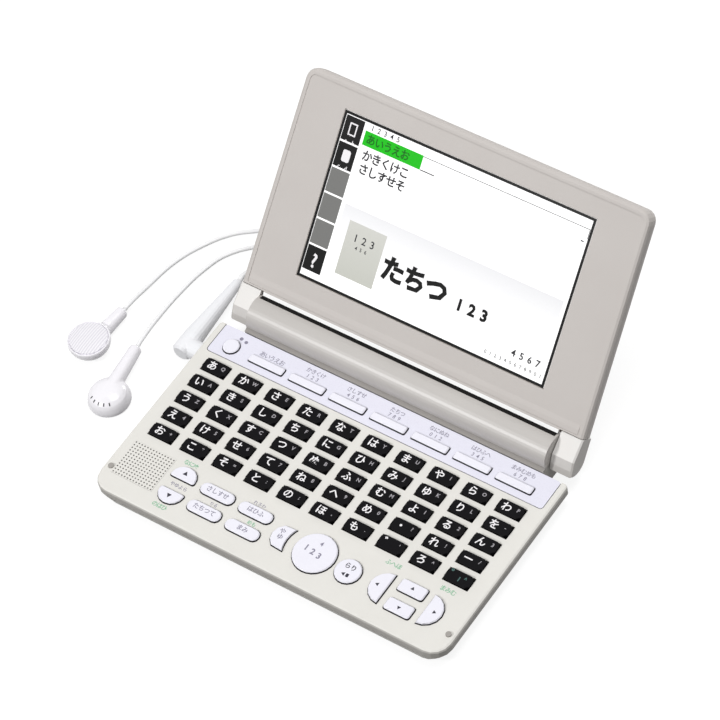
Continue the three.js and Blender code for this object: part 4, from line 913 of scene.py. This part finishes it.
def pierced_plate():
    """The speaker's fine grille: a thin moulded plate with rows of round holes."""
    shape = bmesh.new()
    low, high = GRILLE_LAYERS

    def corner(across, back, height):
        return shape.verts.new((DECK @ Vector((across, back, height))) * MM)

    for column in range(GRILLE_COLUMNS):
        for row in range(GRILLE_ROWS):
            x = GRILLE_LEFT + (column + 0.5) * GRILLE_PITCH
            y = GRILLE_FOOT + (row + 0.5) * GRILLE_PITCH
            edge, hole, foot = [], [], []
            for i in range(HOLE_SIDES):
                turn = math.radians(360 / HOLE_SIDES * i)
                across, back = math.cos(turn), math.sin(turn)
                stretch = GRILLE_PITCH / 2 / max(abs(across), abs(back))
                edge.append(corner(x + across * stretch, y + back * stretch, high))
                hole.append(corner(x + across * GRILLE_HOLE, y + back * GRILLE_HOLE, high))
                foot.append(corner(x + across * GRILLE_HOLE, y + back * GRILLE_HOLE, low))
            for i in range(HOLE_SIDES):
                j = (i + 1) % HOLE_SIDES
                shape.faces.new((edge[i], edge[j], hole[j], hole[i]))
                shape.faces.new((hole[i], hole[j], foot[j], foot[i]))
    bmesh.ops.remove_doubles(shape, verts=shape.verts, dist=0.01 * MM)
    name = "speaker_grille_plate"
    finished(name, mesh_of(shape, name), deck_plastic, "base")


plates("speaker_felt_sheet", [rectangle(GRILLE_LEFT, GRILLE_RIGHT, GRILLE_FOOT, GRILLE_HEAD)],
       DECK_FACE - 0.05, DECK_FACE + 0.03, speaker_felt, "base")
pierced_plate()
plates("deck_bumpers", [disc(side * 71.2, -78.1, BUMPER_RADIUS) for side in (-1, 1)],
       DECK_FACE - 0.1, DECK_FACE + 0.55, bumper_rubber, "base")


# Floor and light

FLOOR_REACH = 3
FLOOR_DROP = 0.0002  # metres under the lowest piece, so that no face lies in another
FLOOR_GLOW = 0.86
AMBIENT = 0.3
BACKDROP = 1

floor_mesh = bpy.data.meshes.new("floor")
floor_mesh.from_pydata([(x * FLOOR_REACH, y * FLOOR_REACH, 0) for x, y in ((-1, -1), (1, -1), (1, 1), (-1, 1))],
                       [], [(0, 1, 2, 3)])
floor = bpy.data.objects.new("floor", floor_mesh)
floor.location.z = -FLOOR_DROP
bpy.context.scene.collection.objects.link(floor)


def seen_rays(tree):
    """One where a camera, glossy or transmission ray looks, and zero where light is gathered."""
    path = add(tree, "ShaderNodeLightPath")
    both = add(tree, "ShaderNodeMath", {"operation": "MAXIMUM"},
               {0: path.outputs["Is Camera Ray"], 1: path.outputs["Is Glossy Ray"]})
    return add(tree, "ShaderNodeMath", {"operation": "MAXIMUM"},
               {0: both.outputs[0], 1: path.outputs["Is Transmission Ray"]}).outputs[0]


# Pale laminate table top: matt, and lifted to white where the camera sees it.
floor_finish, tree, shader = material("laminate_pale", Roughness=0.7, Specular_IOR_Level=0.2)
shader.inputs["Base Color"].default_value = linear("#808080")
shader.inputs["Emission Color"].default_value = (1, 1, 1, 1)
lift = add(tree, "ShaderNodeMath", {"operation": "MULTIPLY", 1: FLOOR_GLOW}, {0: seen_rays(tree)})
tree.links.new(lift.outputs[0], shader.inputs["Emission Strength"])
floor_mesh.materials.append(floor_finish)

# The world is a plain white backdrop where the camera sees it, and a weak even fill where light is gathered.
world = bpy.data.worlds.new("world")
bpy.context.scene.world = world
world.use_nodes = True
tree = world.node_tree
background = tree.nodes["Background"]
background.inputs["Color"].default_value = (1, 1, 1, 1)
strength = add(tree, "ShaderNodeMapRange", {"To Min": AMBIENT, "To Max": BACKDROP}, {"Value": seen_rays(tree)})
tree.links.new(strength.outputs["Result"], background.inputs["Strength"])


def soft_light(name, spot, aim, size, watts):
    """A square soft box at a spot, in metres, that faces a point."""
    data = bpy.data.lights.new(name, "AREA")
    data.size = size
    data.energy = watts
    made = bpy.data.objects.new(name, data)
    made.location = spot
    made.rotation_euler = (Vector(aim) - Vector(spot)).to_track_quat("-Z", "Y").to_euler()
    bpy.context.scene.collection.objects.link(made)


# Overhead, for the even light on the deck. It stands to the right, so that the barrel doesn't mirror it.
soft_light("soft_box_overhead", (0.20, 0.20, 1.26), (0, 0, 0), 0.6, 7.8)
# From the front left, for the walls and the bright band along the barrel.
soft_light("soft_box_front", (-0.46, -0.88, 0.83), (0, 0, 0.02), 0.2, 7.4)
# Low behind, a weak fill for the lid's back and the coil.
soft_light("soft_box_back", (0.08, 1.22, 0.24), (0, 0.03, 0.03), 0.4, 3.6)

bpy.context.scene.view_settings.view_transform = "Standard"
